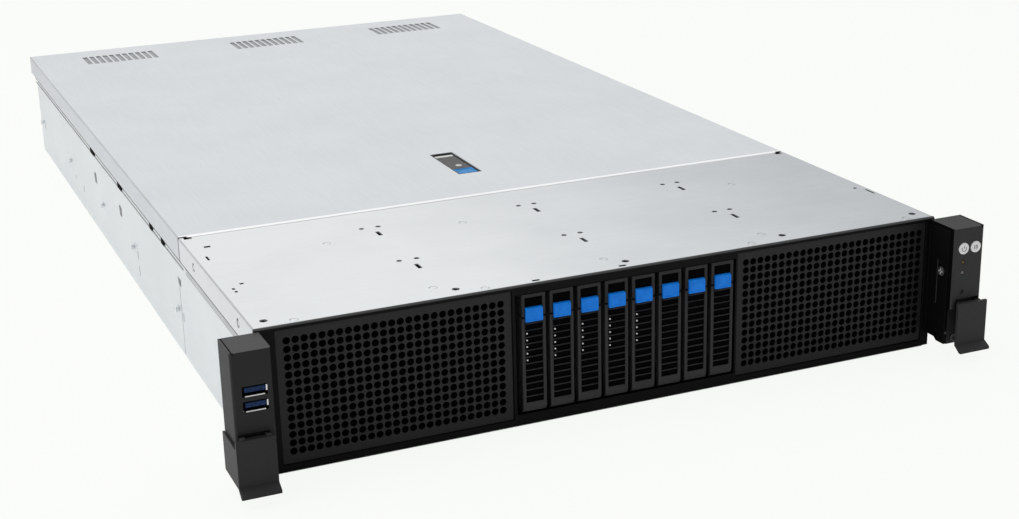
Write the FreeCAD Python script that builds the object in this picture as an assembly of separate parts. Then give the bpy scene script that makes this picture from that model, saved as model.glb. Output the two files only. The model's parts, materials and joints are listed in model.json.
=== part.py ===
import FreeCAD, Part
import math
import os
from FreeCAD import Vector

# A two-unit rack server: a folded steel chassis with a fixed front cover and a sliding rear
# cover, eight small drive trays between two perforated grilles, two rack ears, four fans,
# a main board and two plug-in power supplies. All lengths are in millimetres.
# While modelling, +X points right, +Y points to the rear from the front frame's face,
# and +Z points up from the underside of the floor. save() then moves the origin to the
# middle of the outer box in X and Y.

# ---------------------------------------------------------------- driving sizes
body_width = 438.0           # over the flanges of the covers
ear_width = 23.7             # from a chassis wall to the outer face of its rack ear
body_height = 87.0
body_depth = 800.0           # front frame to the rear edge of the rear cover
sheet = 1.2                  # chassis steel
cover_sheet = 1.0            # cover steel
fit_gap = 0.3                # clearance between parts that come apart or move

# sides of the polygons that stand for small rounds
hex_sides = 6
pin_sides = 8
screw_sides = 10
knuckle_sides = 12
hub_sides = 16
button_sides = 20
rotor_sides = 21             # three for each fan blade
bore_sides = 32

# covers
flange_drop = 15.0           # height of the covers' side flanges
bend_radius = 1.0            # outer radius of the covers' folds
wall_inset = 2.7             # chassis wall, in from the flange's outer face
joggle = 1.2                 # the walls' upper band steps in by this, under the flanges
joggle_drop = 23.5           # where the step starts, below the top of the covers
joggle_rise = 4.0
wall_notch_y = [(236.0, 249.0), (275.0, 289.0), (382.0, 397.0), (492.0, 509.0)]
wall_notch_drop = 21.5
wall_notch_height = 7.0
hook_pocket_y = [396.0, 496.0]
hook_pocket_z = 45.5
hook_pocket_width = 4.0
hook_pocket_height = 9.5
hook_pocket_depth = 0.7
front_cover_end = 177.3
seam = 0.4                   # gap between the two covers
rear_setback = 11.0          # rear wall, in from the rear edge of the cover
hem_width = 6.0
vent_columns = 11
vent_pitch = 6.1
vent_width = 3.2
vent_length = 34.0
vent_rear_margin = 29.0
vent_group_x = [-142.5, -1.7, 139.5]

# holes of the front cover
clip_x = [-105.0, 2.6, 108.6]
clip_y = [73.0, 143.0]
clip_spread = 11.0
clip_radius = 1.9
hook_length = 8.5
hook_width = 2.6
hook_offset = 14.0
edge_hole_x = [-98.8, 8.1, 114.9]
edge_hole_inset = 8.8        # the outermost edge holes, in from the cover's sides
edge_hole_y = 11.5
seam_notch_inset = 3.0
seam_notch_width = 5.0
seam_notch_length = 4.5
edge_hole_radius = 2.4

# cover latch
latch_x = -0.9
latch_width = 17.4
latch_front = 231.0
latch_length = 58.0
latch_depth = 9.5
latch_wall = 0.8
latch_rim = 3.0
lever_margin_front = 1.4
lever_drop = 0.4             # the handle lies this far below the cover's top
latch_lever_width = 14.0
latch_lever_length = 45.0
latch_tip_length = 13.6
latch_plate = 3.4
latch_hub_radius = 3.0
latch_pin_radius = 1.4
latch_side_gap = 1.1

# front frame
frame_depth = 10.0
frame_lip = 1.8
frame_round = 1.4
stile_left = 2.0             # between the left grille and the drive bay
stile_right = 1.3
side_stile_left = 11.6       # between the outer side of the frame and the left grille
side_stile_right = 6.2

# drive trays
tray_count = 8
tray_left = -63.7            # left edge of the first tray
tray_pitch = 17.6
tray_width = 14.7
tray_bottom = 8.0
tray_top_margin = 6.0        # from the trays' top to the top of the covers
tray_margin_left = 3.8
tray_margin_right = 1.8
tray_stile = 1.8
tray_wall = 1.4
tray_front_depth = 7.2
drive_thickness = 9.5
drive_slack = 0.35           # a drive's width, short of the room between its rails
drive_length = 100.2
drive_setback = 3.0
cage_sheet = 0.9

# tray levers and buttons
lever_thickness = 6.4
lever_nose = 3.2             # radius of the rounded foot, centred on the hinge
lever_pin_radius = 1.0
bore_gap = 0.05              # radial running clearance on a pin
lug_width = 4.0
split_drop = 13.8            # joint between the lever and the tray's head, below the tray's top
split_gap = 0.5
slot_pitch = 4.08
slot_height = 3.1
slot_bottom = 14.7
button_width = 10.5
button_height = 9.6
button_drop = 16.3           # lower edge of a button, below the tray's top
button_stand = 1.5           # how far a button stands out of the tray
button_travel = 1.4
head_bar = 2.0
lug_nose = 1.9               # radius of the hinge lug inside the lever's foot
lug_room = 2.2               # radius of the foot's slot round the lug

# grilles
grille_bottom = 5.5
grille_top_margin = 3.0
grille_sheet = 1.2
grille_flange = 8.0
grille_border = 6.0
grille_pitch = 14.0
grille_hole_radius = 6.2

# drive backplane
board_thickness = 1.6
plug_width = 6.0
plug_length = 5.4
plug_height = 44.0

# rack ears
ear_depth = 24.2
ear_step = 19.5              # the lower part is set back to leave room for the latch
ear_bottom = 8.4             # lowest edge, along the front of the lower part
ear_rear_bottom = 10.4
ear_slope_y = (-11.5, -9.0)  # where the lower edge rises to the rear
ear_top_margin = 1.5
ear_split = 33.3             # lower edge of the housing
ear_wall = 1.8
ear_round = 1.6
bracket_sheet = 1.8
bracket_top_margin = 4.0
flap_front = 29.5
flap_sheet = 1.8
flap_side = 1.2              # the flap's side plate, outside the ear
flap_inset = 1.9             # a flap's inner edge, out from the chassis wall
flap_bottom = 10.5
flap_top = 38.0
flap_lip_out = 5.0
flap_lip_down = 3.8
flap_lip_edge = 1.8
flap_lip_shoulder = 0.8
flap_hinge_out = 26.1        # hinge line, forward of the rack plane
flap_hinge_z = 36.6
flap_pin_radius = 0.7
flap_knuckle = 1.3
flap_recess = 2.0            # depth of the recess behind the flap's upper edge
flap_recess_rise = 1.4       # the recess ends this far above the flap
flap_lug = 3.0
flap_lug_inset = 1.5
rack_hole_out = 16.25        # rack hole, out from the chassis wall: 465.1 mm apart
rack_hole_z = 13.35
rack_screw_radius = 2.5
rack_screw_neck = 1.9        # thin shank, so that the screw stays captive in the ear
rack_screw_head = 5.0
rack_screw_head_length = 6.0
rack_thread_start = 0.6
rack_screw_reach = 8.0
ear_board_out = 8.4          # face of the small boards behind the ears' fronts

# ear controls
usb_drop = [31.0, 22.5]      # sockets, below the ear's top
usb_out = 10.2
usb_width = 13.2
usb_height = 5.8
usb_depth = 13.5
usb_shell = 0.4
usb_tongue = 1.9
power_out = 7.4              # controls, out from the chassis wall
id_out = 16.3
ear_button_drop = 13.2
ear_button_radius = 3.7
ear_button_stand = 0.5
ear_button_length = 12.5
led_out = 7.5
led_drop = [28.9, 22.1]
led_radius = 1.1
dimple_drop = 41.5
dimple_radius = 1.6
dimple_depth = 0.8

# fans
fan_head_room = 4.5          # height left over above and below a fan
fan_side_gap = 17.6          # outermost fans to the walls
fan_depth = 38.0
fan_front = 184.0
fan_count = 4
fan_tip_gap = 0.7
fan_bore_wall = 1.6
fan_hub_radius = 18.0
fan_blades = 7
fan_blade_sheet = 2.0
blade_sweep = 8.0            # half the blade's sideways run at the root
blade_bend = 2.5             # sideways offset at mid-blade
fan_motor_length = 4.0
fan_strut = 3.0
rotor_setback = 2.0
blade_margin = 2.0

# main board and what stands on it
standoff = 6.0
standoff_radius = 3.0
standoff_inset = 8.0
board_front = 245.0
board_side_gap = 7.1
board_notch_gap = 6.8        # the board narrows ahead of the power supplies
board_rear_margin = 14.0
cpu_inset = 102.0            # processors, in from the board's sides
cpu_y = 400.0
cpu_socket = 6.0
cpu_socket_width = 60.0
cpu_socket_length = 80.0
sink_width = 80.0
sink_length = 108.0
sink_base = 5.0
sink_gap = 4.9               # above the coolers, under the shroud
sink_fins = 14
fin_sheet = 1.2
dimm_pitch = 9.4
dimm_board_margin = 7.0      # outermost module, in from the board's side
dimm_sink_gap = 8.0          # modules beside a cooler
dimm_middle_gap = 12.0       # innermost module, out from the middle
dimm_length = 133.35
dimm_height = 31.25
dimm_thickness = 3.0
dimm_socket_width = 6.2
dimm_socket_height = 5.5
dimm_socket_margin = 4.0     # a socket is longer than its module by this at each end
shroud_front = 238.0
shroud_length = 262.0
shroud_sheet = 1.5

# power supplies
psu_width = 73.5
psu_head_room = 3.3          # above the upper supply
psu_length = 185.0
psu_gap = 0.3
shelf = 1.0
inlet_width = 24.0
inlet_height = 16.0
inlet_depth = 18.0
inlet_left = 4.5
bail_reach = 26.0
bail_bar = 4.0
bail_x = 32.0
psu_vent_left = 39.0
psu_vent_pitch = 6.4
psu_vent_width = 3.6
psu_vent_count = 4
psu_vent_margin = 5.0
psu_vent_depth = 6.0
tab_width = 4.0
tab_reach = 14.0
tab_height = 18.0

# rear connectors and slot covers
port_rear_reach = 0.6
port_depth = 18.0
network_width = 16.0
network_height = 13.5
network_socket_width = 11.8
network_socket_height = 8.4
network_socket_depth = 12.0
network_x = [20.0, 40.0, 60.0]
video_x = -60.0
video_width = 31.0
video_height = 12.5
video_shell_width = 16.6
video_shell_margin = 2.2
video_shell_reach = 5.0
rear_usb_x = [-25.0, -5.0]
rear_usb_margin = 1.0        # under the lower and over the upper of a pair of sockets
rear_usb_web = 2.0
riser_side_gap = 10.0        # outermost card cage to the left wall
riser_bay_gap = 15.5         # last card cage to the supply bay
riser_gap = 2.0
riser_count = 3
riser_bottom = 30.0
riser_top_margin = 4.0
riser_depth = 90.0
riser_vent_rows = 2
riser_vent_columns = 5
riser_vent_height = 8.0
riser_vent_margin = 4.0
riser_vent_gap = 4.0

# studs and screws
stud_y = [208.0, 352.0, 470.0, 619.0]
stud_rear_inset = 28.0       # last stud, in from the rear edge of the cover
stud_z = 30.2
stud_neck = 3.0
stud_head = 4.6
stud_head_sheet = 1.2
cover_screw_y = [33.4, 138.6]
cover_screw_drop = 7.3
cover_screw_radius = 2.6
bracket_screw_y = -12.0
bracket_screw_z = 54.0
bracket_screw_radius = 3.0
bracket_screw_head = 1.4

# ---------------------------------------------------------------- places that follow
half_body = body_width / 2
wall_x = half_body - wall_inset              # outer face of a chassis wall
wall_in = wall_x - sheet
half_rack = wall_x + ear_width
ear_out = half_rack - flap_side - fit_gap    # outer face of a housing
cover_under = body_height - cover_sheet
wall_top = cover_under - fit_gap
joggle_z = body_height - joggle_drop
rear_y = body_depth - rear_setback           # outer face of the rear wall
latch_rear = latch_front + latch_length
tray_top = body_height - tray_top_margin
tray_height = tray_top - tray_bottom
tray_right = tray_left + (tray_count - 1) * tray_pitch + tray_width
split_z = tray_top - split_drop
button_bottom = tray_top - button_drop
slot_count = int((button_bottom - fit_gap - slot_bottom) / slot_pitch)
bay_left = tray_left - tray_margin_left
bay_right = tray_right + tray_margin_right
left_grille = (side_stile_left - half_body, bay_left - stile_left - fit_gap)
right_grille = (bay_right + stile_right + fit_gap, half_body - side_stile_right)
grille_top = body_height - grille_top_margin
hinge_y = lever_nose
hinge_z = tray_bottom + lever_nose
tray_back = tray_front_depth + tray_wall
drive_width = tray_height - 2 * tray_wall - drive_slack
drive_front = tray_back + drive_setback
drive_rear = drive_front + drive_length
cage_front = frame_depth + fit_gap
cage_rear = drive_rear + plug_length + 2 * fit_gap
cage_bottom = tray_bottom - fit_gap - cage_sheet
cage_top = tray_top + fit_gap + cage_sheet
ear_top = body_height - ear_top_margin
bracket_top = body_height - bracket_top_margin
bracket_out = wall_x + bracket_sheet
recess_top = flap_top + flap_recess_rise
housing_floor = recess_top + ear_wall
rack_hole_x = wall_x + rack_hole_out
power_x = wall_x + power_out
id_x = wall_x + id_out
ear_button_z = ear_top - ear_button_drop
led_x = wall_x + led_out
led_z = [ear_top - drop for drop in led_drop]
usb_x = wall_x + usb_out
usb_z = [ear_top - drop for drop in usb_drop]
fan_size = wall_top - sheet - fan_head_room
fan_pitch = (2 * (wall_in - fan_side_gap) - fan_size) / (fan_count - 1)
fan_z = sheet + fit_gap + fan_size / 2
board_half = wall_in - board_side_gap
board_bottom = sheet + standoff
board_top = board_bottom + board_thickness
board_rear = rear_y - board_rear_margin
cpu_x = board_half - cpu_inset
shroud_top = body_height - latch_depth - fit_gap
psu_right = wall_in - joggle - 2 * psu_gap
psu_left = psu_right - psu_width
psu_front = rear_y - psu_length
psu_height = (wall_top - sheet - shelf - 4 * psu_gap - psu_head_room) / 2
psu_bottoms = [sheet + psu_gap, sheet + 3 * psu_gap + psu_height + shelf]
bay_wall_x = psu_left - psu_gap - sheet
board_notch = psu_front - sheet - board_notch_gap
riser_left = riser_side_gap - wall_in
riser_pitch = (bay_wall_x - riser_bay_gap - riser_left + riser_gap) / riser_count
riser_width = riser_pitch - riser_gap
riser_top = body_height - riser_top_margin
all_stud_y = stud_y + [body_depth - stud_rear_inset]
cover_screw_z = body_height - cover_screw_drop
front_reach = flap_front + flap_lip_out
rear_reach = rear_y + bail_reach
middle_y = (rear_reach - front_reach) / 2


# ---------------------------------------------------------------- shape helpers
def box(x, y, z):
    """A block spanning three (low, high) pairs."""
    return Part.makeBox(x[1] - x[0], y[1] - y[0], z[1] - z[0], Vector(x[0], y[0], z[0]))


def rod(start, along, length, radius):
    """A round bar from start, pointing along a direction."""
    return Part.makeCylinder(radius, length, Vector(*start), Vector(*along))


def prism(points, push):
    """A flat closed outline pushed along a direction."""
    corners = [Vector(*point) for point in points]
    return Part.Face(Part.makePolygon(corners + corners[:1])).extrude(Vector(*push))


def side_prism(outline, x):
    """An outline of (y, z) points pushed across the x span."""
    return prism([(x[0], y, z) for y, z in outline], (x[1] - x[0], 0, 0))


def bar(sides, radius, start, along, length):
    """A bar of regular section from start, along the x, y or z axis."""
    ring = []
    for n in range(sides):
        angle = 2 * math.pi * (n + 0.5) / sides
        a, b = radius * math.cos(angle), radius * math.sin(angle)
        offset = {"x": (0, a, b), "y": (a, 0, b), "z": (a, b, 0)}[along]
        ring.append([start[k] + offset[k] for k in range(3)])
    return prism(ring, {"x": (length, 0, 0), "y": (0, length, 0), "z": (0, 0, length)}[along])


def flats_at(radius, sides):
    """The corner radius of a polygon whose flats lie at a radius."""
    return radius / math.cos(math.pi / sides)


def hinge_bore(pin_radius, start, length):
    """A bore along x whose flats clear a pin of that radius."""
    return bar(pin_sides, flats_at(pin_radius + bore_gap, pin_sides), start, "x", length)


def fuse(shapes):
    """Join shapes into one solid with merged faces."""
    return shapes[0].multiFuse(shapes[1:]).removeSplitter()


def mirrored(shape):
    """The same shape on the other side of the machine."""
    return shape.mirror(Vector(0, 0, 0), Vector(1, 0, 0))


def both_sides(shape):
    """A right-hand shape and its mirror image."""
    return [shape, mirrored(shape)]


def edges_where(shape, test):
    """The edges whose end points all pass a test."""
    return [e for e in shape.Edges if all(test(v.Point) for v in e.Vertexes)]


def near(a, b):
    return abs(a - b) < 1e-6


def save(name, solids):
    """Write one named node with the origin under the middle of the outer box."""
    shape = solids[0] if len(solids) == 1 else Part.makeCompound(solids)
    shape = shape.copy()
    shape.translate(Vector(0, -middle_y, 0))
    shape.exportStep("parts/" + name + ".step")


# ---------------------------------------------------------------- chassis and covers
def standoffs():
    """Hexagonal posts that carry the main board."""
    side = board_half - standoff_inset
    rows = (board_front + standoff_inset, board_notch - standoff_inset)
    spots = [(x, y) for x in (-side, 0, side) for y in rows]
    spots += [(x, board_rear - standoff_inset) for x in (-side, 0, bay_wall_x - standoff_inset)]
    return [bar(hex_sides, standoff_radius, (x, y, sheet), "z", standoff) for x, y in spots]


def wall_profile():
    """The (x, z) points of the right wall's inner face, from the floor up to its stepped-in band."""
    step_in = wall_in - joggle
    return [(wall_in, sheet), (wall_in, joggle_z), (step_in, joggle_z + joggle_rise), (step_in, wall_top)]


def side_wall():
    """The right wall with its upper band stepped in, hook pockets and notches under the flange."""
    inner = wall_profile()
    outer = [(x + sheet, z) for x, z in reversed(inner)]
    front = frame_depth + fit_gap
    ring = [(x, front, z) for x, z in inner + outer[:-1] + [(wall_x, 0), (wall_in, 0)]]
    wall = prism(ring, (0, rear_y - front, 0))
    notch_z = body_height - wall_notch_drop
    cutters = []
    for span in wall_notch_y:
        cutters.append(box((wall_in - joggle - 1, wall_x + 1), span,
                           (notch_z, notch_z + wall_notch_height)))
    for y in hook_pocket_y:
        cutters.append(box((wall_x - hook_pocket_depth, wall_x + 1),
                           (y - hook_pocket_width / 2, y + hook_pocket_width / 2),
                           (hook_pocket_z - hook_pocket_height / 2,
                            hook_pocket_z + hook_pocket_height / 2)))
    return wall.cut(Part.makeCompound(cutters))


def chassis_base():
    """Floor, side walls and board posts."""
    floor = box((-wall_x, wall_x), (frame_lip, rear_y), (0, sheet))
    return fuse([floor] + both_sides(side_wall()) + standoffs())


def rear_openings():
    """Cutters for the power supplies, slot covers and connectors in the rear wall."""
    through = (rear_y - 2 * sheet, rear_y + sheet)
    psu_top = psu_bottoms[1] + psu_height
    cutters = [box((psu_left - psu_gap, half_body), through, (0, psu_top + psu_gap))]
    riser_right = riser_left + riser_count * riser_pitch - riser_gap
    cutters.append(box((riser_left - fit_gap, riser_right + fit_gap), through,
                       (riser_bottom - fit_gap, riser_top + fit_gap)))
    for x, width, height in rear_port_blocks():
        cutters.append(box((x - width / 2 - fit_gap, x + width / 2 + fit_gap), through,
                           (board_top - fit_gap, board_top + height + fit_gap)))
    return cutters


def rear_panel():
    """The rear wall between the side walls, with the supply bay's inner wall and shelf."""
    right = wall_profile()
    left = [(-x, z) for x, z in reversed(right)]
    panel = prism([(x, rear_y - sheet, z) for x, z in right + left], (0, sheet, 0))
    bay_y = (psu_front - sheet, rear_y)
    bay_wall = box((bay_wall_x, bay_wall_x + sheet), bay_y, (sheet, psu_bottoms[1] + psu_height))
    shelf_z = psu_bottoms[0] + psu_height + psu_gap
    bay_shelf = box((bay_wall_x + sheet, wall_in - joggle), bay_y, (shelf_z, shelf_z + shelf))
    return fuse([panel.cut(Part.makeCompound(rear_openings())), bay_wall, bay_shelf])


def cover_blank(front, rear):
    """A flat sheet with a flange folded down along each side."""
    top = box((-half_body, half_body), (front, rear), (cover_under, body_height))
    flange = box((half_body - cover_sheet, half_body), (front, rear),
                 (body_height - flange_drop, body_height))
    blank = fuse([top] + both_sides(flange))
    folds = edges_where(blank, lambda p: near(p.x, half_body) and near(p.z, body_height))
    folds += edges_where(blank, lambda p: near(p.x, -half_body) and near(p.z, body_height))
    return blank.makeFillet(bend_radius, folds)


def front_cover():
    """The fixed front cover with its clip holes, hook slots and edge holes."""
    blank = cover_blank(frame_lip, front_cover_end)
    z = cover_under - fit_gap
    depth = cover_sheet + 2 * fit_gap
    cutters = []
    for x in clip_x:
        for y in clip_y:
            for side in (-0.5, 0.5):
                cutters.append(bar(hex_sides, clip_radius, (x + side * clip_spread, y, z), "z", depth))
            hook_y = y - hook_offset
            cutters.append(box((x, x + hook_width), (hook_y - hook_length / 2, hook_y + hook_length / 2),
                               (z, z + depth)))
    outermost = half_body - edge_hole_inset
    for x in [-outermost] + edge_hole_x + [outermost]:
        cutters.append(bar(pin_sides, edge_hole_radius, (x, edge_hole_y, z), "z", depth))
    notch = box((half_body - seam_notch_inset - seam_notch_width, half_body - seam_notch_inset),
                (front_cover_end - seam_notch_length, front_cover_end + 1), (z, z + depth))
    cutters += both_sides(notch)
    for y in cover_screw_y:
        hole = bar(screw_sides, cover_screw_radius + fit_gap,
                   (half_body - 2 * cover_sheet, y, cover_screw_z), "x",
                   3 * cover_sheet)
        cutters += both_sides(hole)
    return blank.cut(Part.makeCompound(cutters))


def rear_cover_vents():
    """Cutters for the three groups of slots near the rear edge."""
    y = (body_depth - vent_rear_margin - vent_length, body_depth - vent_rear_margin)
    z = (cover_under - fit_gap, body_height + fit_gap)
    cutters = []
    for middle in vent_group_x:
        for n in range(vent_columns):
            x = middle + (n - (vent_columns - 1) / 2) * vent_pitch
            cutters.append(box((x - vent_width / 2, x + vent_width / 2), y, z))
    return cutters


def latch_span(margin):
    """The x and y spans of the latch recess, grown by a margin."""
    x = (latch_x - latch_width / 2 - margin, latch_x + latch_width / 2 + margin)
    return x, (latch_front - margin, latch_rear + margin)


def rear_cover():
    """The sliding rear cover with its hem, vents and latch opening."""
    front = front_cover_end + seam
    blank = cover_blank(front, body_depth)
    hem_x = wall_in - joggle - fit_gap
    hem = box((-hem_x, hem_x), (front, front + hem_width), (cover_under - cover_sheet, cover_under))
    x, y = latch_span(0)
    cutters = rear_cover_vents()
    cutters.append(box(x, y, (cover_under - fit_gap, body_height + fit_gap)))
    return fuse([blank, hem]).cut(Part.makeCompound(cutters))


def latch_hinge():
    """The y and z of the cover latch's pivot."""
    y = latch_front + lever_margin_front + latch_lever_length
    return y, body_height - lever_drop - latch_hub_radius


def latch_base():
    """The moulded recess in the rear cover, with a rim under the sheet and a hinge pin."""
    x, y = latch_span(-fit_gap)
    rim_x, rim_y = latch_span(latch_rim)
    bottom = body_height - latch_depth
    rim = box(rim_x, rim_y, (cover_under - latch_wall, cover_under))
    pan = box(x, y, (bottom, body_height))
    hollow = box((x[0] + latch_wall, x[1] - latch_wall), (y[0] + latch_wall, y[1] - latch_wall),
                 (bottom + latch_wall, body_height + 1))
    pin_y, pin_z = latch_hinge()
    pin = bar(pin_sides, latch_pin_radius, (x[0] + latch_wall / 2, pin_y, pin_z), "x",
              x[1] - x[0] - latch_wall)
    return fuse([fuse([rim, pan]).cut(hollow), pin])


def lever_span():
    """The x span of the cover latch's handle."""
    left = latch_x - latch_width / 2 + latch_side_gap + fit_gap
    return left, left + latch_lever_width


def latch_lever():
    """The flat handle that turns about its rear end and drives the cover back."""
    x = lever_span()
    pin_y, pin_z = latch_hinge()
    top = pin_z + latch_hub_radius
    front = latch_front + lever_margin_front + latch_tip_length + fit_gap
    plate = box(x, (front, pin_y), (top - latch_plate, top))
    hub = bar(knuckle_sides, latch_hub_radius, (x[0], pin_y, pin_z), "x", x[1] - x[0])
    bore = hinge_bore(latch_pin_radius, (x[0] - 1, pin_y, pin_z), x[1] - x[0] + 2)
    return fuse([plate, hub]).cut(bore)


def latch_tip():
    """The coloured release button at the handle's free end."""
    pin_z = latch_hinge()[1]
    top = pin_z + latch_hub_radius
    front = latch_front + lever_margin_front
    return box(lever_span(), (front, front + latch_tip_length), (top - latch_plate, top))


# ---------------------------------------------------------------- front frame, cage, grilles
def ear_bracket():
    """The right-hand cheek of the front frame, which carries the rack ear."""
    return side_prism(ear_low_outline(-ear_step + fit_gap, bracket_top), (wall_x, bracket_out))


def front_frame():
    """The black frame round the trays and grilles, with a rounded top edge."""
    lip = box((-half_body, half_body), (0, frame_lip), (sheet, body_height))
    top_front = edges_where(lip, lambda p: near(p.y, 0) and near(p.z, body_height))
    lip = lip.makeFillet(frame_round, top_front)
    body = box((-wall_x, wall_x), (frame_lip, frame_depth), (sheet, wall_top))
    y = (-1, frame_depth + 1)
    grille_z = (grille_bottom - fit_gap, grille_top + fit_gap)
    openings = [box((bay_left, bay_right), y, (tray_bottom - fit_gap, tray_top + fit_gap))]
    for left, right in (left_grille, right_grille):
        openings.append(box((left - fit_gap, right + fit_gap), y, grille_z))
    frame = fuse([lip, body]).cut(Part.makeCompound(openings))
    return fuse([frame] + both_sides(ear_bracket()))


def drive_cage():
    """Top, bottom and divider plates that guide the trays."""
    first = tray_left - (tray_pitch - tray_width) / 2
    last = first + tray_count * tray_pitch
    x = (first - cage_sheet / 2, last + cage_sheet / 2)
    y = (cage_front, cage_rear)
    plates = [box(x, y, (cage_bottom, cage_bottom + cage_sheet)),
              box(x, y, (cage_top - cage_sheet, cage_top))]
    for n in range(tray_count + 1):
        middle = first + n * tray_pitch
        foot = sheet if n in (0, tray_count) else cage_bottom
        plates.append(box((middle - cage_sheet / 2, middle + cage_sheet / 2), y, (foot, cage_top)))
    return fuse(plates)


def grille(x):
    """A perforated sheet with four folded flanges, open at the back."""
    z = (grille_bottom, grille_top)
    front = frame_lip / 2
    outer = box(x, (front, front + grille_flange), z)
    inner = box((x[0] + grille_sheet, x[1] - grille_sheet),
                (front + grille_sheet, front + grille_flange + 1),
                (z[0] + grille_sheet, z[1] - grille_sheet))
    columns = int((x[1] - x[0] - 2 * grille_border) / grille_pitch)
    rows = int((z[1] - z[0] - 2 * grille_border) / grille_pitch)
    holes = []
    for column in range(columns):
        for row in range(rows):
            hole_x = (x[0] + x[1]) / 2 + (column - (columns - 1) / 2) * grille_pitch
            hole_z = (z[0] + z[1]) / 2 + (row - (rows - 1) / 2) * grille_pitch
            holes.append(bar(hex_sides, grille_hole_radius, (hole_x, front - 1, hole_z), "y",
                             grille_sheet + 2))
    return outer.cut(inner).cut(Part.makeCompound(holes))


def drive_backplane():
    """The circuit board behind the cage, with one plug for each drive."""
    x = (tray_left, tray_right)
    front = cage_rear + fit_gap
    board = box(x, (front, front + board_thickness), (cage_bottom, cage_top))
    middle_z = tray_bottom + tray_height / 2
    z = (middle_z - plug_height / 2, middle_z + plug_height / 2)
    plugs = []
    for n in range(tray_count):
        middle = tray_left + n * tray_pitch + tray_width / 2
        plug_x = (middle - plug_width / 2, middle + plug_width / 2)
        plugs.append(box(plug_x, (drive_rear + fit_gap, front), z))
    return fuse([board] + plugs)


# ---------------------------------------------------------------- drive trays
def tray(left):
    """A carrier with a windowed head, a front wall, two rails and the lever's hinge lug."""
    x = (left, left + tray_width)
    window = (x[0] + tray_stile, x[1] - tray_stile)
    head = box(x, (0, tray_front_depth), (split_z + split_gap, tray_top))
    head = head.cut(box(window, (-1, tray_front_depth), (split_z, tray_top - head_bar)))
    wall = box(x, (tray_front_depth, tray_back), (tray_bottom, tray_top))
    rail_y = (tray_back, drive_rear)
    rails = [box(x, rail_y, (tray_bottom, tray_bottom + tray_wall)),
             box(x, rail_y, (tray_top - tray_wall, tray_top))]
    middle = left + tray_width / 2
    lug_x = middle - lug_width / 2
    lug = box((lug_x, lug_x + lug_width), (hinge_y, tray_front_depth),
              (hinge_z - lug_nose, hinge_z + lug_nose))
    round_nose = bar(knuckle_sides, lug_nose, (lug_x, hinge_y, hinge_z), "x", lug_width)
    pin = bar(pin_sides, lever_pin_radius, (left + tray_stile, hinge_y, hinge_z), "x",
              tray_width - 2 * tray_stile)
    carrier = fuse([head, wall, lug, round_nose, pin] + rails)
    drive_x = middle - drive_thickness / 2
    drive_z = tray_bottom + tray_wall
    drive = box((drive_x, drive_x + drive_thickness), (drive_front, drive_rear),
                (drive_z, drive_z + drive_width))
    return [carrier, drive]


def tray_lever(left):
    """The slotted handle that swings out about its rounded foot."""
    x = (left, left + tray_width)
    plate = box(x, (0, lever_thickness), (hinge_z, split_z))
    foot = bar(knuckle_sides, lever_nose, (left, hinge_y, hinge_z), "x", tray_width)
    window = (x[0] + tray_stile, x[1] - tray_stile)
    through = (-1, lever_thickness + 1)
    cutters = [box(window, through, (button_bottom - fit_gap, split_z + 1))]
    for n in range(slot_count):
        bottom = slot_bottom + n * slot_pitch
        cutters.append(box(window, through, (bottom, bottom + slot_height)))
    middle = left + tray_width / 2
    lug_x = (middle - lug_width / 2 - fit_gap, middle + lug_width / 2 + fit_gap)
    cutters.append(box(lug_x, (hinge_y - lug_room, lever_thickness + 1),
                       (tray_bottom - 1, hinge_z + lug_room)))
    bore_length = tray_width - 2 * tray_stile + 2 * fit_gap
    cutters.append(hinge_bore(lever_pin_radius, (middle - bore_length / 2, hinge_y, hinge_z), bore_length))
    lever = fuse([plate, foot])
    for cutter in cutters:
        lever = lever.cut(cutter)
    return [lever]


def tray_button(left):
    """The release button in the window above the lever."""
    middle = left + tray_width / 2
    back = tray_front_depth - button_travel - fit_gap
    block = box((middle - button_width / 2, middle + button_width / 2), (-button_stand, back),
                (button_bottom, button_bottom + button_height))
    return [block]


# ---------------------------------------------------------------- rack ears (right hand)
def ear_hinge_arms():
    """Two arms on the housing's front that hold the latch's pin, with their bores."""
    arms = []
    for left in (bracket_out + flap_lug_inset, ear_out - flap_lug_inset - flap_lug):
        low = flap_hinge_z - flap_knuckle
        arm = box((left, left + flap_lug), (-flap_hinge_out, 1 + flap_recess - ear_depth),
                  (low, flap_hinge_z + flap_knuckle))
        nose = bar(knuckle_sides, flap_knuckle, (left, -flap_hinge_out, flap_hinge_z), "x", flap_lug)
        bore = hinge_bore(flap_pin_radius, (left - 1, -flap_hinge_out, flap_hinge_z), flap_lug + 2)
        arms.append(fuse([arm, nose]).cut(bore))
    return arms


def ear_housing():
    """The outer form of the right ear's housing, hollow and open to the rear."""
    shell = box((wall_x, ear_out), (-ear_depth, 0), (ear_split, ear_top))
    uprights = edges_where(shell, lambda p: near(p.y, -ear_depth))
    uprights = [e for e in uprights if near(e.Vertexes[0].X, e.Vertexes[-1].X)]
    shell = shell.makeFillet(ear_round, uprights)
    inside = (bracket_out + ear_wall, ear_out - ear_wall)
    hollow = box(inside, (-ear_depth + ear_wall, 1), (housing_floor, ear_top - ear_wall))
    slot = box((wall_x - 1, bracket_out), (-ear_step, 1), (ear_split - 1, bracket_top + fit_gap))
    recess = box(inside, (-ear_depth - 1, -ear_depth + flap_recess), (ear_split - 1, recess_top))
    return shell.cut(hollow).cut(slot).cut(recess)


def ear_low_outline(front, top):
    """The side outline of an ear's set-back lower part, from its front to the frame."""
    return [(0, top), (front, top), (front, ear_bottom), (ear_slope_y[0], ear_bottom),
            (ear_slope_y[1], ear_rear_bottom), (0, ear_rear_bottom)]


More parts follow.
